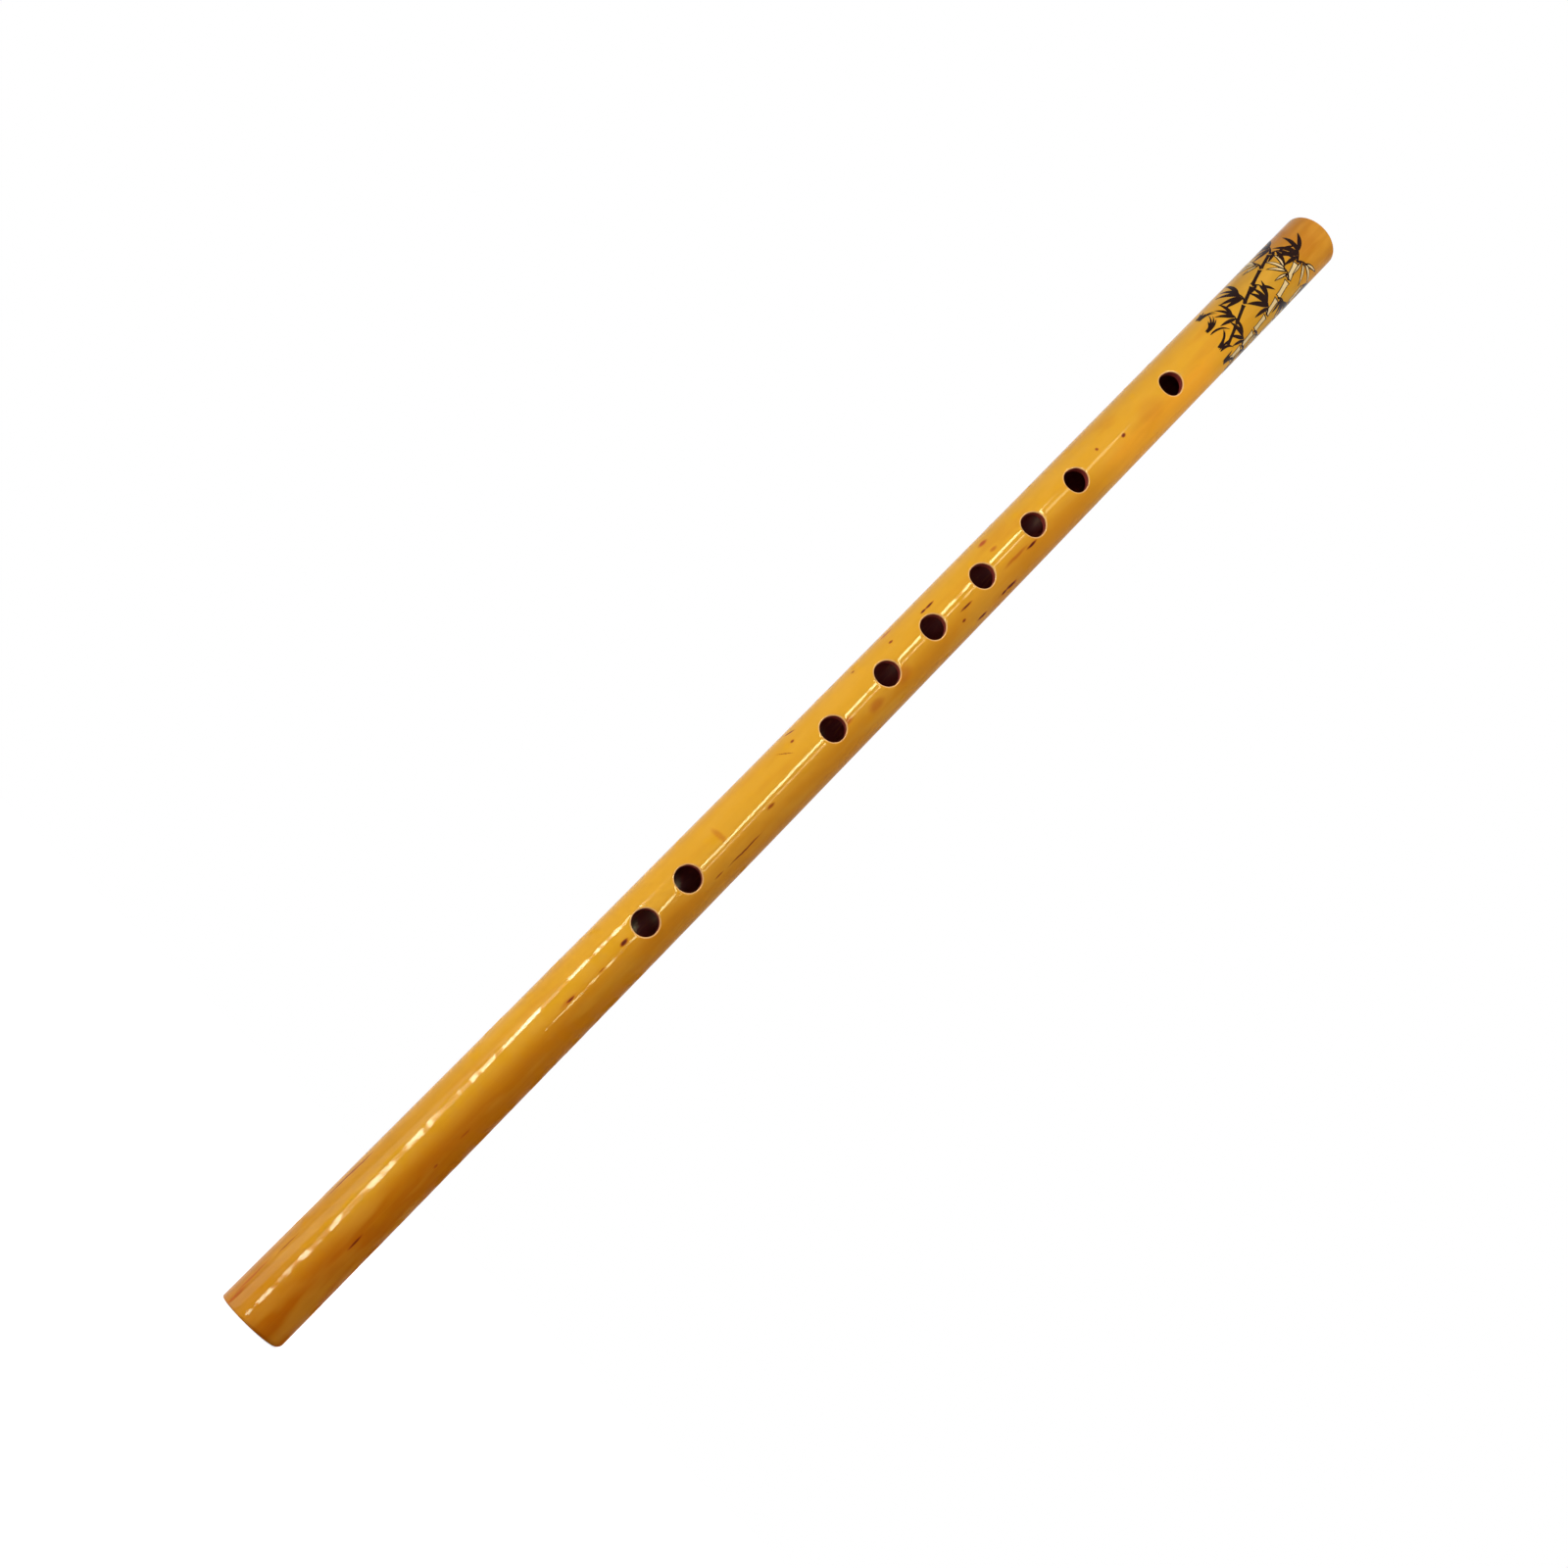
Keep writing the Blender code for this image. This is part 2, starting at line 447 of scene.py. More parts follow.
@dataclass(frozen=True)
class StalkForm:
    """The bowed, tapered stalk. Each field is a number, or a tree's input of the same name."""

    length: Number = 420 * MM
    foot_radius: Number = 8.95 * MM
    mouth_radius: Number = 8.65 * MM
    waist: Number = 0.07 * MM         # how much slimmer than a straight taper the middle is
    wall: Number = 2.4 * MM
    bow: Number = 0.55 * MM           # sideways, towards +X
    bow_skew: Number = 0.8            # below 1 moves the fullest bow towards the foot
    swell_depth: Number = 0.10 * MM   # how deep the stalk's natural hollows are
    swell_length: Number = 38 * MM    # along the stalk, from one hollow to the next
    swell_width: Number = 13 * MM     # round the stalk
    ripple_depth: Number = 0.003 * MM  # of the lacquer's slight ripple
    ripple_length: Number = 6 * MM
    ripple_width: Number = 4 * MM

    def axis_shift(self, height: Number) -> Number:
        """Sideways place of the stalk's axis at a height."""
        return self.bow * sine(math.pi * (height / self.length) ** self.bow_skew)

    def outer_radius(self, height: Number) -> Number:
        """Radius of the stalk at a height, without its hollows.

        Args:
            height: The height.

        Returns:
            The radius.
        """
        share = height / self.length
        taper = (self.mouth_radius - self.foot_radius) * share
        return self.foot_radius + taper - self.waist * (4 * share * (1 - share))

    def bore_radius(self, height: Number) -> Number:
        """Radius of the bore at a height."""
        return self.outer_radius(height) - self.wall

    def skin_radius(self, graph: Graph, x: Socket, y: Socket, height: Socket) -> Socket:
        """Radius of the stalk with its hollows and ripple, where a point faces.

        Args:
            graph: The tree that the maths goes into.
            x: Sideways part of the unit direction that the point faces.
            y: Its part towards +Y.
            height: Height of the point.

        Returns:
            The radius, never above outer_radius.
        """
        radius = self.outer_radius(height)
        for fall, along, across, detail in (
            (self.swell_depth, self.swell_length, self.swell_width, 1.0),
            (self.ripple_depth, self.ripple_length, self.ripple_width, 2.0),
        ):
            turn = self.foot_radius / across
            spot = graph.vector(x * turn, y * turn, height / along)
            radius = radius - fall * graph.limit(graph.noise(spot, detail))
        return radius


@dataclass(frozen=True)
class DrillForm:
    """The drill of a front hole, whose flared top leaves a rounded rim."""

    hole_radius: Number = 3.57 * MM
    rim_radius: Number = 0.42 * MM
    drill_depth: Number = 3.6 * MM
    drill_flare: Number = 0.5 * MM    # how far the flared top runs on past the rim
    drill_clearance: Number = 1.5 * MM
    hole_sides: Number = 72
    arc_rings: Number = 7


@dataclass(frozen=True)
class HoleRow:
    """The front holes from the mouth end down: a membrane hole, six finger and two vent holes."""

    drill: DrillForm = DrillForm()
    drops: tuple[float, ...] = (74.9, 43.4, 19.1, 21.8, 20.8, 18.7, 21.6, 55.2, 15.5)  # mm
    turns: tuple[float, ...] = (1.2, 0.1, 0.7, -0.6, 0.0, -0.6, -0.7, 1.7, 2.0)  # degrees, to +X

    def holes(self, length: float) -> list[tuple[float, float]]:
        """Height and turn, in radians, of each hole in a stalk of this length."""
        heights = accumulate((-drop * MM for drop in self.drops), initial=length)
        return list(zip(list(heights)[1:], map(math.radians, self.turns)))


@dataclass(frozen=True)
class SoundWindow:
    """The window at the back of the mouth end, the ramp to its lip, and the windway above it."""

    block_length: float = 24.0 * MM
    windway_height: float = 1.3 * MM
    length: float = 5.0 * MM
    ramp_length: float = 11.0 * MM
    lip_thickness: float = 0.4 * MM

    def top(self, stalk: StalkForm) -> float:
        """Height of the window's upper edge."""
        return stalk.length - self.block_length

    def floor(self, stalk: StalkForm) -> float:
        """How far the block's flat lies from the axis."""
        return stalk.bore_radius(self.top(stalk)) - self.windway_height

    def half_width(self, stalk: StalkForm) -> float:
        """Half the width of the windway and the window."""
        return math.sqrt(stalk.bore_radius(self.top(stalk)) ** 2 - self.floor(stalk) ** 2)


# Finishes. A scale is the number of swells of noise to a metre along X, Y and Z.


def paint(red: int, green: int, blue: int) -> Colour:
    """A colour as seen in daylight, 0 to 255, as linear light.

    Args:
        red: Red.
        green: Green.
        blue: Blue.

    Returns:
        The colour, opaque.
    """
    shares = [channel / 255 for channel in (red, green, blue)]
    return *[c / 12.92 if c <= 0.04045 else ((c + 0.055) / 1.055) ** 2.4 for c in shares], 1.0


def along_bore(width: float, length: float) -> Triple:
    """Scale of a grain that runs up the bore, from its width and length."""
    return 1 / width, 1 / width, 1 / length


class Finish:
    """What every finish shares: a material whose surface its own method works out."""

    name: str

    def material(self) -> bpy.types.Material:
        """Make the material.

        Returns:
            The material.
        """
        material = bpy.data.materials.new(self.name)
        material.use_nodes = True
        graph = Graph(material.node_tree)
        shader = material.node_tree.nodes["Principled BSDF"]
        spot = graph.node("ShaderNodeTexCoord", output="Object")
        for name, value in self.surface(graph, spot).items():
            graph.feed(graph.find(shader.inputs, name), value)
        return material

    def surface(self, graph: Graph, spot: Socket) -> dict[str, Any]:
        """Work out the shader's inputs.

        Args:
            graph: The material's tree.
            spot: Object coordinates.

        Returns:
            A value or a Socket by the name of the input.
        """
        raise NotImplementedError


@dataclass(frozen=True)
class Fleck:
    """One natural mark in the bamboo's skin."""

    height: float                 # mm above the foot
    turn: float                   # degrees from the front line, towards +X
    length: float                 # mm along the stalk
    width: float                  # mm round it
    strength: float               # 0 to 1
    slant: float = 0.0            # mm sideways for each mm up


DARK_FLECKS = tuple(starmap(Fleck, (
    (121.7, 0, 2.4, 0.8, 0.95), (102.6, 3, 2.2, 0.45, 0.6), (113, 5, 2, 0.35, 0.3),
    (266.5, 56, 4.2, 0.8, 0.85), (263.4, 56, 2.2, 0.6, 0.7), (244.2, -34, 3.2, 0.55, 0.85),
    (241.8, -34, 2, 0.5, 0.7), (278, 24, 3.8, 0.55, 0.75), (251, 17, 4.2, 0.4, 0.65),
    (254, 58, 3.4, 0.6, 0.7), (248, 33, 1.4, 0.6, 0.5), (313, -13, 1, 0.7, 0.45),
    (322, 5, 1.5, 0.8, 0.6), (229, -38, 1.4, 0.6, 0.5), (216, -53, 1.2, 0.5, 0.35),
    (190, -39, 1.2, 0.6, 0.5), (192, -60, 2.4, 0.5, 0.55, 0.5), (28.5, 29, 4.2, 0.4, 0.6),
    (18, -47, 6, 0.35, 0.3), (37, -63, 10, 0.35, 0.5), (42, -60, 7, 0.3, 0.45),
    (160.5, 38, 11, 0.28, 0.6), (151, 36, 3, 0.35, 0.4), (53, 37, 1.4, 0.5, 0.3),
    (63, 34, 3, 0.35, 0.25), (173, 16, 2.6, 0.6, 0.4), (186, -32, 2.8, 0.35, 0.4, 1.1),
    (104, -118, 5, 0.4, 0.5), (186, 149, 3.2, 0.5, 0.6), (241, 171, 2, 0.6, 0.5),
    (318, -146, 7, 0.35, 0.45), (62, 163, 1.6, 0.8, 0.7),
)))

RUST_FLECKS = tuple(starmap(Fleck, (
    (158, -12, 1.6, 4, 0.3), (269, -47, 3.2, 1.2, 0.7), (269, -21, 2.4, 0.8, 0.45),
    (272, 19, 9, 0.7, 0.45), (231, -64, 4, 1, 0.4), (213, 25, 5, 2, 0.35),
    (224, 20, 6, 3.5, 0.3), (102, 2, 5, 0.8, 0.3), (2.6, -47, 6, 0.8, 0.5),
    (8, -52, 9, 0.5, 0.45), (204, 8, 3.2, 1.2, 0.5), (334, 6, 9, 5, 0.12),
    (142, -131, 8, 3, 0.4), (287, 138, 10, 4, 0.35), (385, 160, 9, 4, 0.3),
)))


@dataclass(frozen=True)
class LacqueredBamboo(Finish):
    """Golden bamboo skin under clear gloss lacquer, with pale eased rims round the holes."""

    stalk: StalkForm
    row: HoleRow
    name: str = "lacquered_bamboo_skin"
    body: Colour = paint(226, 162, 34)
    amber: Colour = paint(214, 117, 8)        # on the +X side, strongest at the foot: partly a deeper tint, partly painted shade
    stain: Colour = paint(192, 95, 4)         # painted shade there near the foot; also darkens the foot end all round
    tanned: Colour = paint(184, 112, 20)      # painted shade on the -X side near the foot
    bright: Colour = paint(248, 166, 40)      # painted light on the +X side below the print
    dusk: Colour = paint(199, 144, 34)        # painted shade under the print
    # painted shade at the mouth end
    mouth: Colour = paint(190, 115, 16)
    pale: Colour = paint(234, 172, 56)
    deep: Colour = paint(212, 134, 20)
    rust: Colour = paint(190, 84, 18)
    dark: Colour = paint(92, 34, 12)
    rim: Colour = paint(238, 184, 118)
    foot_zone: Span = (190 * MM, 20 * MM)     # heights
    foot_end: Span = (45 * MM, 3 * MM)
    tanned_zone: Span = (92 * MM, 48 * MM)
    dull_zone: Span = (135 * MM, 118 * MM)
    head_zone: Span = (290 * MM, 330 * MM)
    bright_zone: tuple[Span, Span] = ((303 * MM, 320 * MM), (372 * MM, 352 * MM))
    dusk_zone: Span = (367 * MM, 387 * MM)
    mouth_zone: Span = (396 * MM, 411 * MM)
    amber_turns: tuple[Span, Span] = ((-0.15, 0.65), (2.7, 1.5))  # radians from the front to +X
    shaded_turns: tuple[Span, Span] = ((-0.1, 0.5), (2.4, 1.2))
    tanned_turns: tuple[Span, Span] = ((-0.36, -0.60), (-2.7, -1.8))
    dull_turns: tuple[Span, Span] = ((-0.50, -0.43), (2.7, 1.8))
    front: Span = (0.0, -2 * MM)              # places along Y where rims start to show
    rim_fade: Span = (0.50 * MM, 0.20 * MM)   # from a hole's edge
    side_wander: float = 0.3                  # radians that the mottle moves a side's edge by
    foot_wander: float = 0.22                 # radians that it lies nearer the front at the foot
    fibre_scale: Triple = along_bore(0.22 * MM, 48 * MM)
    mottle_scale: Triple = along_bore(5 * MM, 22 * MM)
    wander_scale: Triple = (420.0, 420.0, 300.0)
    glint_scale: Triple = (260.0, 260.0, 190.0)
    patch_length: float = 4.5 * MM            # of the lacquer's dull patches near the foot
    patch_turn: float = 1.5                   # how much faster they change round the stalk
    patch_fade: Span = (0.47, 0.56)
    patch_share: float = 0.85                 # of the coat that a patch takes away
    glint_fade: Span = (0.28, 0.42)
    least_coat: float = 0.20                  # between the glints
    shaded_share: float = 0.60                # of the coat that the +X side loses
    shaded_foot: float = 0.33                 # and the further share that it loses at the foot
    mark_axes: Span = (1.4, 1.9)              # a mark's ellipse is its width and length over these
    mark_fade: Span = (1.4, 0.4)              # its soft edge, where 1 is the ellipse
    mark_stray: Span = (0.5, 0.7)             # mm that the edge strays by, round and along
    mark_gain: float = 1.5

    def rim_gap(self, graph: Graph, spot: Socket) -> Socket:
        """Distance from a point in front of the stalk to the nearest hole's edge.

        Args:
            graph: The material's tree.
            spot: Object coordinates.

        Returns:
            The distance, negative inside a hole.
        """
        nearest: Socket | None = None
        for height, turn in self.row.holes(self.stalk.length):
            aside = self.stalk.outer_radius(height) * math.sin(turn)
            middle = (self.stalk.axis_shift(height) + aside, 0.0, height)
            gap = graph.length((spot - middle) * (1.0, 0.0, 1.0))
            nearest = gap if nearest is None else graph.maths("MINIMUM", nearest, gap)
        return nearest - self.row.drill.hole_radius

    def flecks(self, graph: Graph, flat: Socket, marks: Iterable[Fleck]) -> Socket:
        """How strongly a group of marks shows at each point.

        Args:
            graph: The material's tree.
            flat: The skin laid flat: X round the stalk and Y along it, in mm.
            marks: The marks.

        Returns:
            The strength, from 0 to 1.
        """
        radius, (wide, long) = self.stalk.foot_radius / MM, self.mark_axes
        total: Socket | None = None
        for mark in marks:
            shifted = flat - (math.radians(mark.turn) * radius, mark.height, 0.0)
            if mark.slant:
                across, along, _ = graph.parts(shifted)
                shifted = graph.vector(across - along * mark.slant, along, 0.0)
            spread = graph.length(shifted * (wide / mark.width, long / mark.length, 0.0))
            strength = min(1.0, mark.strength * self.mark_gain)
            shade = graph.fade(spread, *self.mark_fade) * strength
            total = shade if total is None else graph.maths("MAXIMUM", total, shade)
        return total

    def surface(self, graph: Graph, spot: Socket) -> dict[str, Any]:
        """Bamboo colour with painted shade and a painted light patch, fibres, marks and rims, with
        the lacquer's uneven gloss.

        Args:
            graph: The material's tree.
            spot: Object coordinates.

        Returns:
            The shader's inputs.
        """
        x, y, z = graph.parts(spot)
        turn = graph.maths("ARCTAN2", x - self.stalk.axis_shift(z), y * -1.0)
        fibres = graph.noise(spot * self.fibre_scale, 3.0, 0.6)
        mottle = graph.noise(spot * self.mottle_scale, 2.0)
        wander = graph.noise(spot * self.wander_scale, 1.0)

        foot, head = graph.fade(z, *self.foot_zone), graph.fade(z, *self.head_zone)
        around = turn + (mottle - 0.5) * self.side_wander + foot * self.foot_wander
        side = graph.between(around, *self.amber_turns)
        shaded = graph.between(around, *self.shaded_turns)
        tanned = graph.fade(z, *self.tanned_zone) * graph.between(turn, *self.tanned_turns)

        stray_x, stray_y = self.mark_stray
        flat = graph.vector(turn * (self.stalk.foot_radius / MM), z / MM, 0.0)
        flat = flat + graph.vector((wander - 0.5) * stray_x, (fibres - 0.5) * stray_y, 0.0)
        rust, dark = (self.flecks(graph, flat, marks) for marks in (RUST_FLECKS, DARK_FLECKS))
        worn = graph.fade(self.rim_gap(graph, spot), *self.rim_fade) * graph.fade(y, *self.front)

        colour = self.body
        for share, tone in (      # each tone goes over those before it, at its strongest share
            # painted shade: the +X side deeper, most at the foot; the foot end darker all round
            (side * (foot * 0.35 + 0.5 - head * 0.45), graph.mix(foot, self.amber, self.stain)),
            (graph.fade(z, *self.foot_end) * 0.35, self.stain),
            # painted shade on the -X side near the foot
            (tanned * 0.38, self.tanned),
            # painted light on the +X side below the print
            (graph.between(z, *self.bright_zone) * shaded * 0.8, self.bright),
            # painted shade under the print and at the mouth end
            (graph.fade(z, *self.dusk_zone) * 0.85, self.dusk),
            (graph.fade(z, *self.mouth_zone) * 0.85, self.mouth),
            (graph.fade(mottle, 0.46, 0.70) * 0.35, self.pale),
            (graph.fade(mottle, 0.46, 0.26) * 0.35, self.deep),
            (graph.fade(fibres, 0.56, 0.82) * 0.25, self.deep),
            (graph.fade(fibres, 0.44, 0.20) * 0.20, self.pale),
            (graph.limit(rust + dark * 1.5), self.rust),
            (dark * dark, self.dark),
            (worn * 0.9, self.rim),
        ):
            colour = graph.mix(share, colour, tone)

        glints = graph.noise(spot * self.glint_scale, 2.0, 0.6)
        place = graph.vector(turn * self.patch_turn, 0.0, z / self.patch_length)
        dull = graph.fade(graph.noise(place, 1.0), *self.patch_fade)
        dull = dull * graph.fade(z, *self.dull_zone) * graph.between(turn, *self.dull_turns)
        coat = graph.fade(glints, *self.glint_fade) * (1 - self.least_coat) + self.least_coat
        coat = coat * (1.0 - dull * self.patch_share)
        return {
            "Base Color": colour,
            "Roughness": 0.34 + (mottle - 0.5) * 0.12 + dark * 0.2,
            "Specular IOR Level": 0.0,
            "Coat Weight": coat * (1.0 - shaded * (foot * self.shaded_foot + self.shaded_share)),
            "Coat Roughness": 0.06,
            "Coat IOR": 1.25,
            "Normal": graph.bump(fibres + mottle, 0.02 * MM, 0.35),
        }


@dataclass(frozen=True)
class Grained(Finish):
    """Two colours mixed by a fine grain, which also roughens the surface and stands out of it."""

    name: str
    colour: Colour
    other: Colour
    scale: float | Triple         # of the grain
    other_fade: Span              # grain where the other colour starts, and where it is full
    other_share: float            # of the other colour where it is full
    roughness: Span               # least, and what the grain adds
    specular: float
    relief: float = 0.0           # depth of the grain
    relief_strength: float = 0.0
    cuts_scale: Triple | None = None  # of knife marks across the grain, half as deep
    coat: tuple[float, float, float] | None = None  # weight, roughness and IOR

    def surface(self, graph: Graph, spot: Socket) -> dict[str, Any]:
        """The mix, its roughness, its bump and its coat.

        Args:
            graph: The material's tree.
            spot: Object coordinates.

        Returns:
            The shader's inputs.
        """
        height = grain = graph.noise(spot * self.scale, 3.0, 0.6)
        share = graph.fade(grain, *self.other_fade) * self.other_share
        inputs = {
            "Base Color": graph.mix(share, self.colour, self.other),
            "Roughness": self.roughness[0] + grain * self.roughness[1],
            "Specular IOR Level": self.specular,
        }
        if self.cuts_scale:
            height = grain + graph.noise(spot * self.cuts_scale, 1.0) * 0.5
        if self.relief:
            inputs["Normal"] = graph.bump(height, self.relief, self.relief_strength)
        if self.coat:
            inputs.update(zip(("Coat Weight", "Coat Roughness", "Coat IOR"), self.coat))
        return inputs


BORE_PAINT = Grained(
    "maroon_bore_paint", paint(138, 50, 46), paint(166, 82, 50), scale=(1300.0, 1300.0, 160.0),
    other_fade=(0.5, 0.8), other_share=1.0, roughness=(0.32, 0.2), specular=0.35,
    relief=0.03 * MM, relief_strength=0.4,
)
CARVED_BAMBOO = Grained(
    "carved_window_bamboo", paint(216, 170, 98), paint(170, 112, 50), scale=(2600.0, 60.0, 24.0),
    other_fade=(0.46, 0.74), other_share=0.8, roughness=(0.5, 0.15), specular=0.05,
    relief=0.04 * MM, relief_strength=0.5, cuts_scale=(180.0, 180.0, 1500.0),
)
SPRIG_INK = Grained(
    "sprig_ink", paint(30, 8, 5), paint(66, 28, 12), scale=2200.0, other_fade=(0.52, 0.80),
    other_share=0.6, roughness=(0.3, 0.1), specular=0.03, coat=(0.6, 0.06, 1.15),
)
SPRIG_CREAM = replace(
    SPRIG_INK, name="sprig_cream", colour=paint(226, 196, 138), other=paint(216, 172, 96)
)


@dataclass(frozen=True)
class EndGrain(Finish):
    """Bamboo cut square across, with the dots of its fibre bundles, denser near the skin."""

    stalk: StalkForm
    name: str = "bamboo_end_grain"
    colour: Colour = paint(214, 172, 104)
    pale: Colour = paint(226, 188, 124)
    bundle: Colour = paint(150, 98, 44)
    bundle_size: float = 0.42 * MM
    dot: float = 0.22             # a dot's radius in bundles, which doubles towards the skin
    dot_fade: Span = (0.12, -0.06)  # its soft edge
    cloud_scale: float = 500.0

    def surface(self, graph: Graph, spot: Socket) -> dict[str, Any]:
        """Dots of fibre bundles on a pale ground.

        Args:
            graph: The material's tree.
            spot: Object coordinates.

        Returns:
            The shader's inputs.
        """
        flat = spot * (1.0, 1.0, 0.0)
        skin = self.stalk.foot_radius
        outward = graph.fade(graph.length(flat), skin - self.stalk.wall, skin)
        places = {"Vector": flat / self.bundle_size, "Scale": 1.0}
        cells = graph.node("ShaderNodeTexVoronoi", places, "Distance")
        size = self.dot + outward * self.dot
        dots = graph.fade(cells, *[size + past for past in self.dot_fade])
        ground = graph.mix(graph.noise(flat * self.cloud_scale, 2.0), self.colour, self.pale)
        return {
            "Base Color": graph.mix(dots * (0.35 + outward * 0.5), ground, self.bundle),
            "Roughness": 0.5 + dots * 0.2,
            "Specular IOR Level": 0.05,
            "Normal": graph.bump(1.0 - dots, 0.03 * MM, 0.5),
        }


@dataclass(frozen=True)
class BlockWood(Finish):
    """Pale close-grained wood of the block, its grain running up the bore."""

    name: str = "pale_block_grain"
    colour: Colour = paint(226, 196, 148)
    late: Colour = paint(188, 146, 94)
    ring_gap: float = 1.1 * MM
    ring_slope: float = 0.6       # sideways lean of the rings
    ring_drift: float = 2 * MM    # how far they stray
    drift_scale: Triple = (160.0, 160.0, 30.0)
    pore_scale: Triple = (3600.0, 3600.0, 240.0)

    def surface(self, graph: Graph, spot: Socket) -> dict[str, Any]:
        """Growth rings and fine pores that run up the bore.

        Args:
            graph: The material's tree.
            spot: Object coordinates.

        Returns:
            The shader's inputs.
        """
        x, y, _ = graph.parts(spot)
        drift = graph.noise(spot * self.drift_scale, 2.0)
        across = x * self.ring_slope + y + drift * self.ring_drift
        rings = sine(across * (2 * math.pi / self.ring_gap))
        pores = graph.noise(spot * self.pore_scale, 3.0, 0.6)
        late = graph.limit(rings * 0.25 + 0.25 + graph.fade(pores, 0.55, 0.8) * 0.4)
        return {
            "Base Color": graph.mix(late, self.colour, self.late),
            "Roughness": 0.52 + pores * 0.15,
            "Specular IOR Level": 0.05,
            "Normal": graph.bump(pores, 0.03 * MM, 0.4),
        }


# Bamboo stalk


@dataclass(frozen=True)
class WallForm:
    """The edges of the stalk's wall, and how finely the wall is made."""

    foot_edge: Number = 0.9 * MM
    foot_edge_wear: Number = 0.6 * MM     # rounder by this on +X, sharper on -X
    mouth_edge: Number = 0.6 * MM
    bore_ease: Number = 0.3 * MM
    sides: Number = 160
    skin_rings: Number = 380
    edge_rings: Number = 6
    bore_rings: Number = 60
    end_rings: Number = 2


@dataclass
class BambooStalk:
    """The lacquered stalk: wall, eased ends, nine drilled holes and the sound window."""

    form: StalkForm
    row: HoleRow
    window: SoundWindow
    ends: WallForm = WallForm()
    rim_arc: float = math.radians(70)
    weld: float = 0.001 * MM          # points nearer than this are joined
    end_zone: float = 3 * MM          # where only the bore is painted, not what is sunk in the skin
    thin: float = 0.01 * MM           # within this of an end's height is that end's face
    paint_edge: float = 0.05 * MM     # the bore's paint starts this much before the bore
    painted_rim: float = 0.55         # share of a rim's depth at which a hole's paint starts

    def sleeve(
        self, tree: GeometryTree, form: StalkForm, ends: WallForm, rings: Socket, profile: Profile
    ) -> Socket:
        """A surface of rings round the bowed axis.

        Args:
            tree: The tree that the nodes go into.
            form: The stalk's form, of sockets.
            ends: The wall's form, of sockets.
            rings: Steps from the first ring to the last.
            profile: Gives radius and height from the share of the way along and the unit direction.

        Returns:
            The surface.
        """
        cylinder = tree.cylinder(ends.sides, rings, "NONE")
        x, y, z = tree.position()
        radius, height = profile(z + 0.5, x, y)
        return tree.place(cylinder, form.axis_shift(height) + radius * x, radius * y, height)

    def wall(self, tree: GeometryTree, form: StalkForm) -> Socket:
        """The tube's closed wall: skin, mouth face, bore and foot face.

        Args:
            tree: The tree that the nodes go into.
            form: The stalk's form, of sockets.

        Returns:
            The wall as one mesh.
        """
        ends = tree.sizes(self.ends)
        mouth, ease = ends.mouth_edge, ends.bore_ease

        def foot_edge(x: Socket) -> Socket:
            """Radius of the foot's outer edge, where a point faces."""
            return ends.foot_edge + ends.foot_edge_wear * x

        def straight(share: Socket, corner: Socket) -> Socket:
            """Share of the way along the straight part, between two corners."""
            return tree.limit((share - corner) / (1 - 2 * corner))

        def skin(share: Socket, x: Socket, y: Socket) -> tuple[Number, Number]:
            """The outside, with its rounded ends.

            Args:
                share: Share of the way along.
                x: Sideways part of the direction.
                y: Its part towards +Y.

            Returns:
                Radius and height.
            """
            corner = ends.edge_rings / ends.skin_rings
            low = tree.limit(share / corner) * (math.pi / 2)
            high = tree.limit((1 - share) / corner) * (math.pi / 2)
            foot = foot_edge(x)
            rise = (form.length - foot - mouth) * straight(share, corner)
            height = foot * (1 - cosine(low)) + rise + mouth * cosine(high)
            trim = foot * (1 - sine(low)) + mouth * (1 - sine(high))
            return form.skin_radius(tree, x, y, height) - trim, height

        def mouth_face(share: Socket, x: Socket, y: Socket) -> tuple[Number, Number]:
            """The mouth end, from its outer edge to the bore."""
            outer = form.skin_radius(tree, x, y, form.length) - mouth
            return outer + (form.bore_radius(form.length) + ease - outer) * share, form.length

        def bore(share: Socket, _x: Socket, _y: Socket) -> tuple[Number, Number]:
            """The bore, with eased ends.

            Args:
                share: Share of the way along.
                _x: Part of the direction, which a round bore doesn't need.
                _y: Its other part.

            Returns:
                Radius and height.
            """
            corner = 1 / ends.bore_rings
            low = tree.limit(1 - share / corner)
            high = tree.limit(1 - (1 - share) / corner)
            rise = (form.length - 2 * ease) * straight(share, corner)
            height = ease * (1 - low) + rise + ease * high
            return form.bore_radius(height) + ease * (low + high), height

        def foot_face(share: Socket, x: Socket, y: Socket) -> tuple[Number, Number]:
            """The foot end, from the bore to its outer edge.

            Args:
                share: Share of the way along.
                x: Sideways part of the direction.
                y: Its part towards +Y.

            Returns:
                Radius and height.
            """
            inner = form.bore_radius(0.0) + ease
            outer = form.skin_radius(tree, x, y, form.length * 0.0) - foot_edge(x)
            return inner + (outer - inner) * share, 0.0

        bore_wall = self.sleeve(tree, form, ends, ends.bore_rings, bore)
        parts = [
            self.sleeve(tree, form, ends, ends.skin_rings, skin),
            self.sleeve(tree, form, ends, ends.end_rings, mouth_face),
            tree.node("GeometryNodeFlipFaces", {"Mesh": bore_wall}),
            self.sleeve(tree, form, ends, ends.end_rings, foot_face),
        ]
        joined = tree.node("GeometryNodeJoinGeometry", {"Geometry": parts})
        inputs = {"Geometry": joined, "Distance": self.weld}
        return tree.node("GeometryNodeMergeByDistance", inputs)

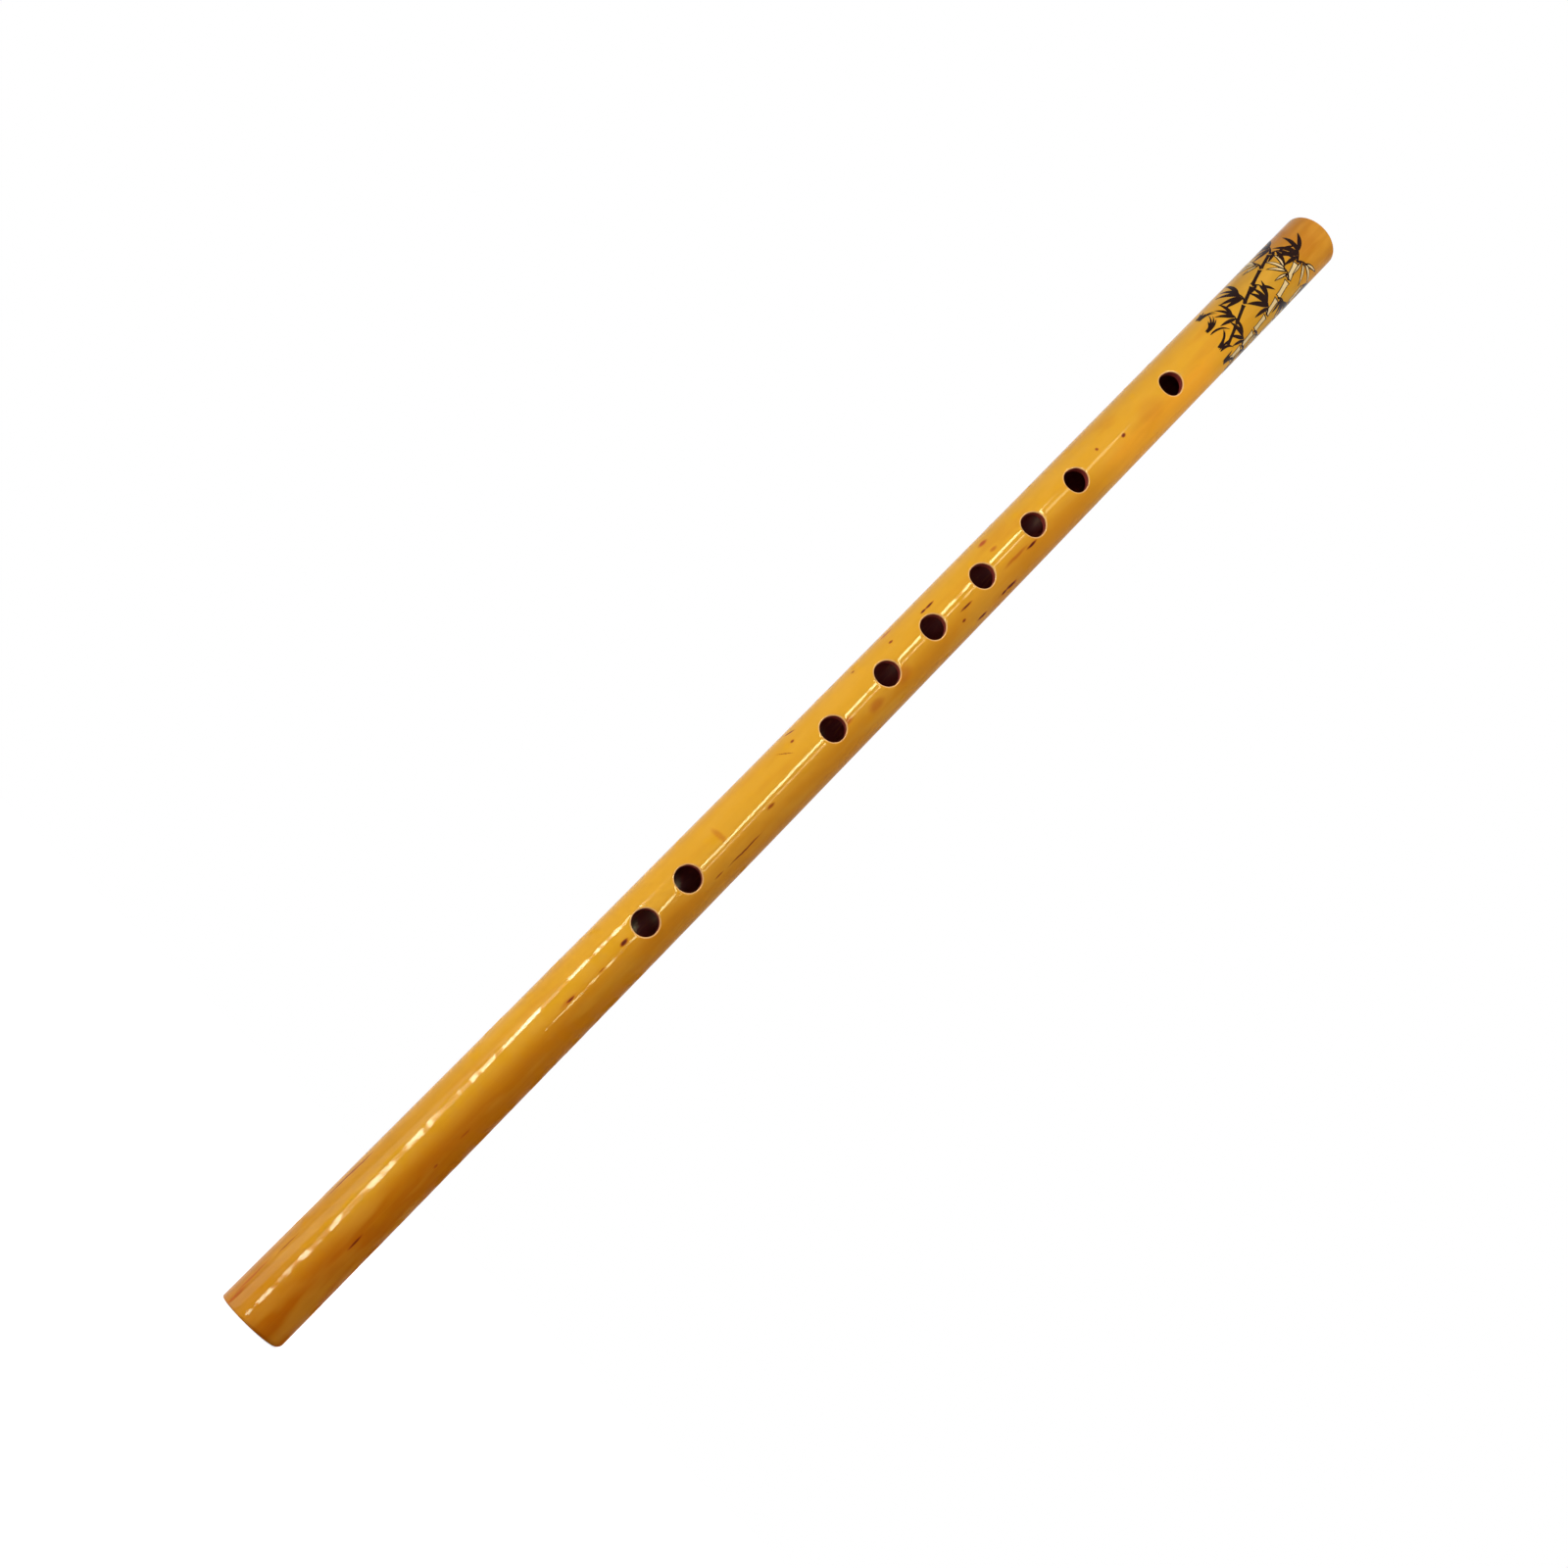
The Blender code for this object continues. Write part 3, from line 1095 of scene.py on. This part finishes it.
    def drills(self, tree: GeometryTree, form: StalkForm) -> Socket:
        """One drill for each mark, shaped so that its flared top leaves a rounded rim.

        Args:
            tree: The tree that the nodes go into.
            form: The stalk's form, of sockets.

        Returns:
            The drills as one mesh.
        """
        drill = tree.sizes(self.row.drill)
        rim = drill.rim_radius
        rings = drill.arc_rings + 3
        cylinder = tree.cylinder(drill.hole_sides, rings, "TRIANGLE_FAN")
        x, y, z = tree.position()
        ring = (z + 0.5) * rings
        straight = tree.limit(ring)
        arc = tree.limit((ring - 1) / drill.arc_rings) * self.rim_arc
        flared = drill.drill_flare * tree.limit(ring - 1 - drill.arc_rings)
        lifted = tree.limit(ring - 2 - drill.arc_rings)
        radius = drill.hole_radius + rim * (1 - cosine(arc)) + flared * math.sin(self.rim_arc)
        sunk = (
            rim * (1 - sine(arc))
            + (drill.drill_depth - rim) * (1 - straight)
            - flared * math.cos(self.rim_arc)
            - drill.drill_clearance * lifted
        )
        shaped = tree.place(cylinder, radius * x, radius * y, sunk)
        inputs = {"Points": tree.source(), "Instance": shaped}
        placed = tree.realized(tree.node("GeometryNodeInstanceOnPoints", inputs))

        turn, hole_height = tree.attribute("turn"), tree.attribute("hole_height")
        across, up, inside = tree.position()
        height = up + hole_height
        outer = form.outer_radius(height)
        ahead = root(outer * outer - across * across)
        skin = form.skin_radius(tree, across / outer, ahead / outer * -1.0, height)
        reach = root(skin * skin - across * across) - (inside - hole_height)
        aside = form.axis_shift(height) + across * cosine(turn) + reach * sine(turn)
        return tree.place(placed, aside, across * sine(turn) - reach * cosine(turn), height)

    def dressed(self, tree: GeometryTree, form: StalkForm, body: Socket) -> Socket:
        """Give the skin, bore, hole walls and end faces their materials.

        Args:
            tree: The tree that the nodes go into.
            form: The stalk's form, of sockets.
            body: The drilled stalk.

        Returns:
            The dressed stalk.
        """
        x, y, height = tree.position()
        aside = x - form.axis_shift(height)
        sunk = form.outer_radius(height) - root(aside * aside + y * y)
        length = self.form.length
        away = (height > self.end_zone) * (height < length - self.end_zone)
        holes = sunk > self.form.swell_depth + self.row.drill.rim_radius * self.painted_rim
        bore = sunk > self.form.wall - self.paint_edge
        faces = (height < self.thin) + (height > length - self.thin)
        body = tree.dress(body, LacqueredBamboo(self.form, self.row))
        body = tree.dress(body, BORE_PAINT, holes * away + bore)
        return tree.dress(body, EndGrain(self.form), faces)

    def window_cutter(self) -> bpy.types.Object:
        """The window and the ramp down to its lip, as one upright section across the stalk.

        Returns:
            The cutter.
        """
        window, form = self.window, self.form
        top, floor = window.top(form), window.floor(form)
        lip = top - window.length
        lip_y = form.bore_radius(lip) + window.lip_thickness
        slope = (form.outer_radius(lip - window.ramp_length) - lip_y) / window.ramp_length
        out_y = form.outer_radius(0.0) + MM
        ramp_end = lip - (out_y - lip_y) / slope
        section = ((floor, top), (floor, lip), (lip_y, lip), (out_y, ramp_end), (out_y, top))
        middle, half = form.axis_shift(lip), window.half_width(form)
        sides = [[(middle + side * half, y, z) for y, z in section] for side in (-1, 1)]
        return add_loft("window_cutter", sides, CARVED_BAMBOO)

    def build(self) -> None:
        """Build and register the stalk."""
        heights, turns = zip(*self.row.holes(self.form.length))
        points = [(0.0, 0.0, height) for height in heights]
        marks = {"turn": turns, "hole_height": heights}
        piece = add_points("bamboo_stalk", points, [], marks)
        tree = GeometryTree("bamboo_stalk_shape")
        form = tree.sizes(self.form)
        solids = {"Mesh 1": self.wall(tree, form), "Mesh 2": self.drills(tree, form)}
        settings = {"operation": "DIFFERENCE", "solver": "EXACT"}
        drilled = tree.node("GeometryNodeMeshBoolean", solids, **settings)
        smooth = tree.node("GeometryNodeSetShadeSmooth", {"Geometry": drilled})
        tree.apply(piece, self.dressed(tree, form, tree.realized(smooth)))

        cutter = self.window_cutter()
        cut = piece.modifiers.new("window", "BOOLEAN")
        cut.operation, cut.solver = settings.values()
        cut.material_mode = "TRANSFER"
        cut.object = cutter
        keep_result(piece)
        bpy.data.objects.remove(cutter)
        piece.data.set_sharp_from_angle(angle=SHARP)
        register(piece, Slot.BAMBOO, CadNode.TUBE)


# Fipple block


@dataclass
class MouthBlock:
    """The wooden plug in the mouth end, flat at the back to leave the windway."""

    form: StalkForm
    window: SoundWindow
    clearance: float = 0.03 * MM
    edge: float = 0.25 * MM
    sides: int = 96
    rings: int = 8
    edge_steps: int = 3

    def section(self, height: float, inset: float) -> list[Triple]:
        """Points round the block at a height.

        Args:
            height: Height of the section.
            inset: How far its edge is drawn in.

        Returns:
            The points, anticlockwise from above.
        """
        radius = self.form.bore_radius(height) - self.clearance - inset
        start = math.asin((self.window.floor(self.form) - inset) / radius)
        sweep = math.pi + 2 * start
        shift = self.form.axis_shift(height)
        angles = [math.pi - start + sweep * i / self.sides for i in range(self.sides + 1)]
        return [(shift + radius * math.cos(a), radius * math.sin(a), height) for a in angles]

    def build(self) -> None:
        """Build and register the block."""
        low, high = self.window.top(self.form), self.form.length
        angles = [math.pi / 2 * i / self.edge_steps for i in range(self.edge_steps + 1)]
        edge = [(self.edge * (1 - math.cos(a)), self.edge * (1 - math.sin(a))) for a in angles]
        levels = [(low + rise, inset) for rise, inset in edge]
        levels += [(low + (high - low) * i / self.rings, 0.0) for i in range(1, self.rings)]
        levels += [(high - rise, inset) for rise, inset in reversed(edge)]
        piece = add_loft("mouth_block", starmap(self.section, levels), BlockWood())
        piece.data.shade_smooth()
        piece.data.set_sharp_from_angle(angle=SHARP)
        register(piece, Slot.BLOCK, CadNode.BLOCK)


# Printed sprigs


class Brush(Enum):
    """How a stroke's width changes along it."""

    CULM = "culm"
    LEAF = "leaf"
    TWIG = "twig"


BRUSH_WIDTHS: dict[Brush, Callable[[float], float]] = {
    Brush.CULM: lambda share: 0.84 + 0.32 * (2 * share - 1) ** 4,
    Brush.LEAF: lambda share: 0.07 + 0.93 * math.sin(math.pi * share ** 0.72) ** 0.9,
    Brush.TWIG: lambda share: 1.0 - 0.6 * share,
}


class Ink(Enum):
    """The two colours of the print."""

    DARK = "dark"
    PALE = "pale"


@dataclass(frozen=True)
class Stroke:
    """One brush stroke, in mm on the skin laid flat: X round the stalk from its front, Y up it."""

    start: Span
    bend: Span
    end: Span
    width: float
    brush: Brush
    ink: Ink = Ink.DARK

    def at(self, share: float) -> Span:
        """The point at a share of the way along.

        Args:
            share: From 0 to 1.

        Returns:
            The point.
        """
        weights = ((1 - share) ** 2, 2 * share * (1 - share), share * share)
        corners = (self.start, self.bend, self.end)
        return tuple(sum(w * p[k] for w, p in zip(weights, corners)) for k in (0, 1))

    def points(self, step: float) -> list[Triple]:
        """Points along the stroke.

        Args:
            step: About how far apart they are, in mm.

        Returns:
            X, Y and half width of each.
        """
        reach = math.dist(self.start, self.bend) + math.dist(self.bend, self.end)
        count = max(4, round(reach / step))
        shares = [i / count for i in range(count + 1)]
        return [(*self.at(s), self.width / 2 * BRUSH_WIDTHS[self.brush](s)) for s in shares]

    def inside(self, line: float) -> "Stroke":
        """The pale inside, which leaves a dark line of this width round it.

        Args:
            line: Width of the line in mm.

        Returns:
            The smaller stroke.
        """
        trim = line if self.brush is Brush.CULM else 2.5 * line
        share = trim / math.dist(self.start, self.end)
        start, end, width = self.at(share), self.at(1 - share), self.width - 2 * line
        return replace(self, start=start, end=end, width=width, ink=Ink.PALE)


@dataclass(frozen=True)
class Culm:
    """A drawn bamboo stem: its foot, its tip, how far it bows sideways, and its joints."""

    foot: Span
    tip: Span
    bow: float
    width: float
    joints: int
    hollow: bool = False          # outlined, with a pale inside

    def at(self, share: float) -> Span:
        """The point at a share of the way up."""
        x, y = (low + (high - low) * share for low, high in zip(self.foot, self.tip))
        return x + self.bow * math.sin(math.pi * share), y


@dataclass(frozen=True)
class Fan:
    """A fan of drawn leaves on one twig."""

    culm: int                     # which stem it grows from
    joint: float                  # how many joints up that stem
    lean: float                   # degrees of the twig from straight up, positive to +X
    leaves: int
    size: float                   # mm, length of its longest leaf
    hollow: bool = False          # outlined leaves with a pale inside


@dataclass(frozen=True)
class RibbonForm:
    """The ribbon that a stroke is made of."""

    sunk: Number = 0.06 * MM          # how far its underside lies below the skin
    cuts: Number = 3                  # in each side of its section


@dataclass
class PrintedSprigs:
    """Bamboo sprigs printed round the mouth end, in dark ink with pale insides."""

    form: StalkForm
    seed: int = 12
    step: float = 0.45            # mm between the points of a stroke
    line: float = 0.34            # mm, line round a hollow leaf or stem
    slimness: float = 0.20        # width of a leaf for each mm of its length
    twig: float = 0.75            # mm
    lift: float = 0.012 * MM      # how far the first stroke stands above the skin
    layer: float = 0.00012 * MM   # each stroke lies this much higher than the one before
    pale_lift: float = 0.0016 * MM  # and a pale one this much higher than that
    sharp: float = math.radians(40)
    culms: tuple[Culm, ...] = (
        Culm((9.0, 366.5), (1.8, 404.5), 1.4, 2.2, 6, True),
        Culm((4.6, 367.5), (-6.2, 401.5), -1.0, 1.2, 5),
        Culm((12.6, 369.0), (9.6, 403.5), 0.8, 1.6, 5, True),
    )
    fans: tuple[Fan, ...] = tuple(starmap(Fan, (
        (2, 5, 30, 5, 8.4), (2, 4, 54, 4, 7.4, True), (2, 3, 48, 5, 7.6), (2, 1, 58, 4, 6.6),
        (1, 5, 28, 4, 6.6), (1, 5, -34, 5, 8.6), (1, 4, -62, 4, 7.8, True), (1, 3, 44, 3, 5.8),
        (1, 2, -60, 5, 8.0), (1, 1, -62, 4, 6.6), (0, 6, -30, 5, 8.0), (0, 6, 42, 4, 7.2, True),
        (0, 5, -62, 4, 7.4, True), (0, 4, 52, 5, 7.2), (0, 3, -50, 5, 8.2),
        (0, 2, 56, 4, 7.2, True), (0, 1, -58, 4, 6.6), (0, 1, 60, 4, 6.2),
    )))
    grass_roots: tuple[Span, ...] = (
        (-8.4, 368.5), (-2.2, 365.5), (3.4, 364.5), (7.4, 364.0), (12.4, 365.0),
    )
    joint_gap: float = 0.05       # bare share of a stem's joint at either end
    first_leaf: float = 12        # degrees from the twig's lean to its first leaf
    last_leaf: float = 168        # degrees from straight up
    leaf_stray: float = 8         # degrees
    leaf_sizes: Span = (0.86, 1.06)  # smallest and largest, times the fan's size
    leaf_sags: Span = (0.4, 1.3)  # least and most
    leaf_sag: float = 0.09        # of a leaf's length
    grass_blades: int = 8
    grass_width: float = 0.65     # mm
    grass_height: Span = (2.6, 6.8)  # mm, shortest and tallest

    def drawn(self) -> list[Stroke]:
        """Draw every stroke.

        Returns:
            The strokes, each over those before it.
        """
        chance = random.Random(self.seed)
        strokes: list[Stroke] = []
        for culm in self.culms:
            for i in range(culm.joints):
                low = (i + self.joint_gap) / culm.joints
                high = (i + 1 - self.joint_gap) / culm.joints
                middle = culm.at((low + high) / 2)
                stem = Stroke(culm.at(low), middle, culm.at(high), culm.width, Brush.CULM)
                strokes += [stem, stem.inside(self.line)] if culm.hollow else [stem]
        for fan in self.fans:
            strokes += self.leaves(fan, chance)
        for x, y in self.grass_roots:
            for _ in range(self.grass_blades):
                lean = chance.uniform(-1.0, 1.0)
                tall = chance.uniform(*self.grass_height)
                foot, top = (x + lean * 1.1, y), (x + lean * tall * 0.8, y + tall)
                bend = (x + lean * tall * 0.12, y + tall * 0.7)
                strokes.append(Stroke(foot, bend, top, self.grass_width, Brush.LEAF))
        return strokes

    def leaves(self, fan: Fan, chance: random.Random) -> list[Stroke]:
        """The twig and leaves of one fan.

        Args:
            fan: The fan.
            chance: Where its small differences come from.

        Returns:
            The strokes.
        """
        culm = self.culms[fan.culm]
        x, y = culm.at(fan.joint / culm.joints)
        lean, reach = math.radians(fan.lean), fan.size * 0.5
        bend = (x + math.sin(lean) * reach * 0.35, y + reach * 0.5)
        tip = (x + math.sin(lean) * reach, y + math.cos(lean) * reach * 0.9)
        twig = Stroke((x, y), bend, tip, self.twig, Brush.TWIG)
        strokes = [twig]
        side = math.copysign(1.0, fan.lean)
        first = abs(fan.lean) + self.first_leaf
        for i in range(fan.leaves):
            share = i / (fan.leaves - 1)
            stray = chance.uniform(-self.leaf_stray, self.leaf_stray)
            turn = math.radians(first + (self.last_leaf - first) * share + stray) * side
            size = fan.size * (1.0 - 0.28 * abs(share - 0.4)) * chance.uniform(*self.leaf_sizes)
            (x, y), across, up = twig.at(1.0 - 0.5 * share), math.sin(turn), math.cos(turn)
            sag = self.leaf_sag * size * side * chance.uniform(*self.leaf_sags)
            bend = (x + across * size * 0.5 - up * sag, y + up * size * 0.5 + across * sag)
            end = (x + across * size, y + up * size)
            leaf = Stroke((x, y), bend, end, size * self.slimness, Brush.LEAF)
            strokes += [leaf, leaf.inside(self.line)] if fan.hollow else [leaf]
        return strokes

    def sheet(self, name: str, strokes: list[Stroke], ink: Ink) -> bpy.types.Object:
        """The object that the tree starts from: each stroke as a chain of edges, laid flat.

        Args:
            name: The piece's name.
            strokes: Every stroke of the print.
            ink: Which of them this piece holds.

        Returns:
            The object.
        """
        points, edges, widths, lifts = [], [], [], []
        for order, stroke in enumerate(strokes):
            if stroke.ink is not ink:
                continue
            chain = stroke.points(self.step)
            edges += [(len(points) + i, len(points) + i + 1) for i in range(len(chain) - 1)]
            points += [(x * MM, y * MM, 0.0) for x, y, _ in chain]
            widths += [half * MM for _, _, half in chain]
            level = self.lift + order * self.layer + self.pale_lift * (ink is Ink.PALE)
            lifts += [level] * len(chain)
        return add_points(name, points, edges, {"half_width": widths, "lift": lifts})

    def layer_on_skin(self, name: str, strokes: list[Stroke], ink: Ink, finish: Finish) -> None:
        """Turn strokes into a thin layer wrapped on the stalk, and register it.

        Args:
            name: The piece's name.
            strokes: Every stroke of the print.
            ink: Which of them this layer holds.
            finish: Its colour.
        """
        piece = self.sheet(name, strokes, ink)
        tree = GeometryTree(name + "_shape")
        form, ribbon = tree.sizes(self.form), tree.sizes(RibbonForm())
        half_width, lift = tree.attribute("half_width"), tree.attribute("lift")
        lines = tree.node("GeometryNodeMeshToCurve", {"Mesh": tree.source()})
        level = tree.node("GeometryNodeSetCurveNormal", {0: lines}, mode="Z_UP")
        square = {"Width": 2.0, "Height": 2.0}
        profile = tree.node("GeometryNodeCurvePrimitiveQuadrilateral", square)
        finer = tree.node("GeometryNodeSubdivideCurve", {"Curve": profile, "Cuts": ribbon.cuts})
        inputs = {"Curve": level, "Profile Curve": finer, "Scale": half_width, "Fill Caps": True}
        flat = tree.node("GeometryNodeCurveToMesh", inputs)

        across, height, thick = tree.position()
        top = tree.limit(thick / half_width * 0.5 + 0.5)
        turn = across / self.form.outer_radius(height)
        x, y = sine(turn), cosine(turn) * -1.0
        radius = form.skin_radius(tree, x, y, height) - ribbon.sunk + (ribbon.sunk + lift) * top
        wrapped = tree.place(flat, form.axis_shift(height) + radius * x, radius * y, height)
        tree.apply(piece, tree.dress(tree.realized(wrapped), finish))
        piece.data.shade_smooth()
        piece.data.set_sharp_from_angle(angle=self.sharp)
        register(piece, Slot.BAMBOO)

    def build(self) -> None:
        """Build and register both layers of the print."""
        strokes = self.drawn()
        self.layer_on_skin("printed_sprigs_ink", strokes, Ink.DARK, SPRIG_INK)
        self.layer_on_skin("printed_sprigs_cream", strokes, Ink.PALE, SPRIG_CREAM)


# Camera, lamps and floor


@dataclass(frozen=True)
class Viewpoint:
    """The photograph's camera, rolled so that the flute runs from corner to corner."""

    place: Triple = (9.43 * MM, -432.74 * MM, 48.77 * MM)
    yaw: float = math.radians(-1.094)       # from +Y, towards +X
    pitch: float = math.radians(17.138)
    roll: float = math.radians(44.355)
    focal_pixels: float = 1773.3
    sensor: float = 36.0                    # mm
    nearest: float = 10 * MM

    def build(self) -> None:
        """Make the scene's camera."""
        data = bpy.data.cameras.new("photo_camera")
        data.sensor_fit = "HORIZONTAL"
        data.sensor_width = self.sensor
        data.lens = self.sensor * self.focal_pixels / IMAGE_SIDE
        data.clip_start = self.nearest
        level = Euler((math.pi / 2 + self.pitch, 0.0, -self.yaw)).to_matrix()
        turn = level @ Matrix.Rotation(self.roll, 3, "Z")
        camera = add_object("photo_camera", data)
        camera.matrix_world = Matrix.Translation(self.place) @ turn.to_4x4()
        bpy.context.scene.camera = camera


@dataclass(frozen=True)
class Lamp:
    """A rectangular lamp, which either lights the colour of a surface or is mirrored by a gloss."""

    name: str
    width: float
    height: float
    power: float
    colour: Triple = (1.0, 1.0, 1.0)
    mirrored: bool = False

    def build(self, place: Matrix) -> None:
        """Add the lamp.

        Args:
            place: Where it stands; it shines along its own -Z.
        """
        data = bpy.data.lights.new(self.name, "AREA")
        data.shape = "RECTANGLE"
        data.size, data.size_y = self.width, self.height
        data.energy, data.color = self.power, self.colour
        lamp = add_object(self.name, data)
        lamp.matrix_world = place
        lamp.visible_camera = False
        lamp.visible_diffuse = not self.mirrored
        lamp.visible_glossy = self.mirrored


@dataclass(frozen=True)
class SoftBox:
    """A square soft lamp that faces a height on the flute's axis."""

    name: str
    place: Triple
    aim: float
    side: float
    power: float

    def build(self) -> None:
        """Add the lamp to the scene."""
        turn = (Vector((0, 0, self.aim)) - Vector(self.place)).to_track_quat("-Z", "Y")
        place = Matrix.Translation(self.place) @ turn.to_matrix().to_4x4()
        Lamp(self.name, self.side, self.side, self.power).build(place)


@dataclass(frozen=True)
class StripLamp:
    """Long thin lamps, placed so that the lacquer mirrors them along a stated line on the stalk."""

    name: str
    line: tuple[Span, ...]        # height in mm and turn in degrees, from the foot up
    width: float
    glow: float                   # brightness, where 1 is white
    colour: Triple = (0.95, 1.0, 0.58)
    distance: float = 0.7

    def mirrored(self, height: float, turn: float, stalk: StalkForm, eye: Vector) -> Vector:
        """The point at the lamp's distance that a spot on the stalk mirrors to the camera.

        Args:
            height: Height of the spot in mm.
            turn: Degrees round the stalk from the front, towards +X.
            stalk: The stalk.
            eye: The camera's place.

        Returns:
            The point.
        """
        height, angle = height * MM, math.radians(turn)
        facing = Vector((math.sin(angle), -math.cos(angle), 0))
        spot = Vector((stalk.axis_shift(height), 0, height)) + facing * stalk.outer_radius(height)
        view = (eye - spot).normalized()
        return spot + (2 * facing.dot(view) * facing - view) * self.distance

    def build(self, stalk: StalkForm, eye: Vector) -> None:
        """Add one lamp for each stretch of the line.

        Args:
            stalk: The stalk that mirrors them.
            eye: The camera's place.
        """
        stops = [self.mirrored(height, turn, stalk, eye) for height, turn in self.line]
        for i, (low, high) in enumerate(zip(stops, stops[1:])):
            length = (high - low).length
            along = (high - low).normalized()
            middle = (low + high) / 2
            back = middle - Vector((0, 0, stalk.length / 2))
            back = (back - back.dot(along) * along).normalized()
            turn = Matrix((along.cross(back), along, back)).transposed().to_4x4()
            name, power = "%s_%d" % (self.name, i + 1), math.pi * self.width * length * self.glow
            lamp = Lamp(name, self.width, length, power, self.colour, mirrored=True)
            lamp.build(Matrix.Translation(middle) @ turn)


@dataclass
class Studio:
    """White floor and backdrop, soft boxes, and strip lamps that the lacquer mirrors."""

    stalk: StalkForm
    view: Viewpoint
    ambient: float = 0.06
    near_glow: float = 0.80       # of the floor beside the flute, where its shadow shows
    far_glow: float = 1.0
    glow_rise: Span = (0.04, 0.20)  # metres from the flute, from the one to the other
    floor_grey: float = 0.7
    floor_radius: float = 4.0
    floor_drop: float = 0.1 * MM
    floor_sides: int = 96
    boxes: tuple[SoftBox, ...] = (
        SoftBox("head_box", (0.257, -0.337, 0.642), 0.35, 0.28, 1.75),
        SoftBox("side_box", (-0.337, -0.228, 0.160), 0.12, 0.30, 1.1),
        SoftBox("front_box", (0.0, -0.45, 0.75), 0.38, 0.28, 0.95),
        SoftBox("left_box", (-0.36, -0.20, 0.58), 0.36, 0.28, 0.3),
        SoftBox("back_left_box", (-0.17, 0.63, 0.40), 0.2, 0.4, 2.0),
        SoftBox("back_right_box", (0.15, 0.64, 0.36), 0.2, 0.4, 2.0),
    )
    strips: tuple[StripLamp, ...] = (
        StripLamp(
            "foot_row",
            ((0, -9.4), (17, -11.9), (37, -13.8), (58, -17.1), (80, -20.5), (91, -22), (131, -22)),
            0.13, 49.0, (0.96, 1.0, 0.75),
        ),
        StripLamp("foot_sheet", ((0, -28.5), (66, -34.0)), 0.80, 2.9, (1.0, 0.94, 0.8)),
        StripLamp("middle_strip", ((96, 9.6), (149, 4.4), (232, -3.8), (281, -9.3)), 0.065, 50.0),
        StripLamp("middle_strip_side", ((140, 12.0), (281, 1.0)), 0.03, 35.0),
        StripLamp("upper_strip", ((284, 0.5), (322, 1.5)), 0.10, 13.5),
    )

    def seen(self, graph: Graph) -> Socket:
        """Whether the camera, a gloss or a glass is looking.

        Args:
            graph: The tree that the maths goes into.

        Returns:
            1 for a ray from one of them, otherwise 0.
        """
        camera = graph.node("ShaderNodeLightPath", output="Is Camera Ray")
        glossy, through = camera.also("Is Glossy Ray"), camera.also("Is Transmission Ray")
        return graph.limit(camera + glossy + through)

    def world(self) -> None:
        """White backdrop that lights the object softly."""
        world = bpy.data.worlds.new("studio")
        world.use_nodes = True
        graph = Graph(world.node_tree)
        background = world.node_tree.nodes["Background"]
        graph.feed(background.inputs["Color"], (1.0, 1.0, 1.0, 1.0))
        strength = self.ambient + self.seen(graph) * (1 - self.ambient)
        graph.feed(background.inputs["Strength"], strength)
        bpy.context.scene.world = world

    def floor(self) -> None:
        """White floor that keeps the object's shadow and lets a gloss see past it."""
        material = bpy.data.materials.new("studio_floor")
        material.use_nodes = True
        graph = Graph(material.node_tree)
        graph.tree.nodes.remove(graph.tree.nodes["Principled BSDF"])
        matt = graph.node("ShaderNodeBsdfDiffuse", {"Color": (*[self.floor_grey] * 3, 1.0)})
        away = graph.length(graph.node("ShaderNodeTexCoord", output="Object"))
        rise = graph.fade(away, *self.glow_rise) * (self.far_glow - self.near_glow)
        strength = self.seen(graph) * (self.near_glow + rise)
        glow = graph.node("ShaderNodeEmission", {"Strength": strength})
        lit = graph.node("ShaderNodeAddShader", {0: matt, 1: glow})
        gloss = graph.node("ShaderNodeLightPath", output="Is Glossy Ray")
        clear = graph.node("ShaderNodeBsdfTransparent")
        shown = graph.node("ShaderNodeMixShader", {0: gloss, 1: lit, 2: clear})
        graph.feed(graph.tree.nodes["Material Output"].inputs["Surface"], shown)

        shape = bmesh.new()
        size = {"segments": self.floor_sides, "radius": self.floor_radius}
        bmesh.ops.create_circle(shape, cap_ends=True, **size)
        bmesh.ops.translate(shape, verts=shape.verts, vec=(0, 0, -self.floor_drop))
        mesh = bpy.data.meshes.new("studio_floor")
        shape.to_mesh(mesh)
        shape.free()
        mesh.materials.append(material)
        add_object("studio_floor", mesh)

    def build(self) -> None:
        """Set up the floor, the backdrop and the lamps."""
        bpy.context.scene.view_settings.view_transform = "Standard"
        self.world()
        self.floor()
        for box in self.boxes:
            box.build()
        for strip in self.strips:
            strip.build(self.stalk, Vector(self.view.place))


def main() -> None:
    """Build the flute and the studio round it."""
    logging.basicConfig(level=logging.INFO, format="%(name)s: %(message)s")
    low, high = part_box(CadNode.TUBE.value)
    stalk = StalkForm(length=high.z - low.z, foot_radius=high.y)
    window, view = SoundWindow(), Viewpoint()
    view.build()
    Studio(stalk, view).build()
    BambooStalk(stalk, HoleRow(), window).build()
    MouthBlock(stalk, window).build()
    PrintedSprigs(stalk).build()


if __name__ == "__main__":
    main()
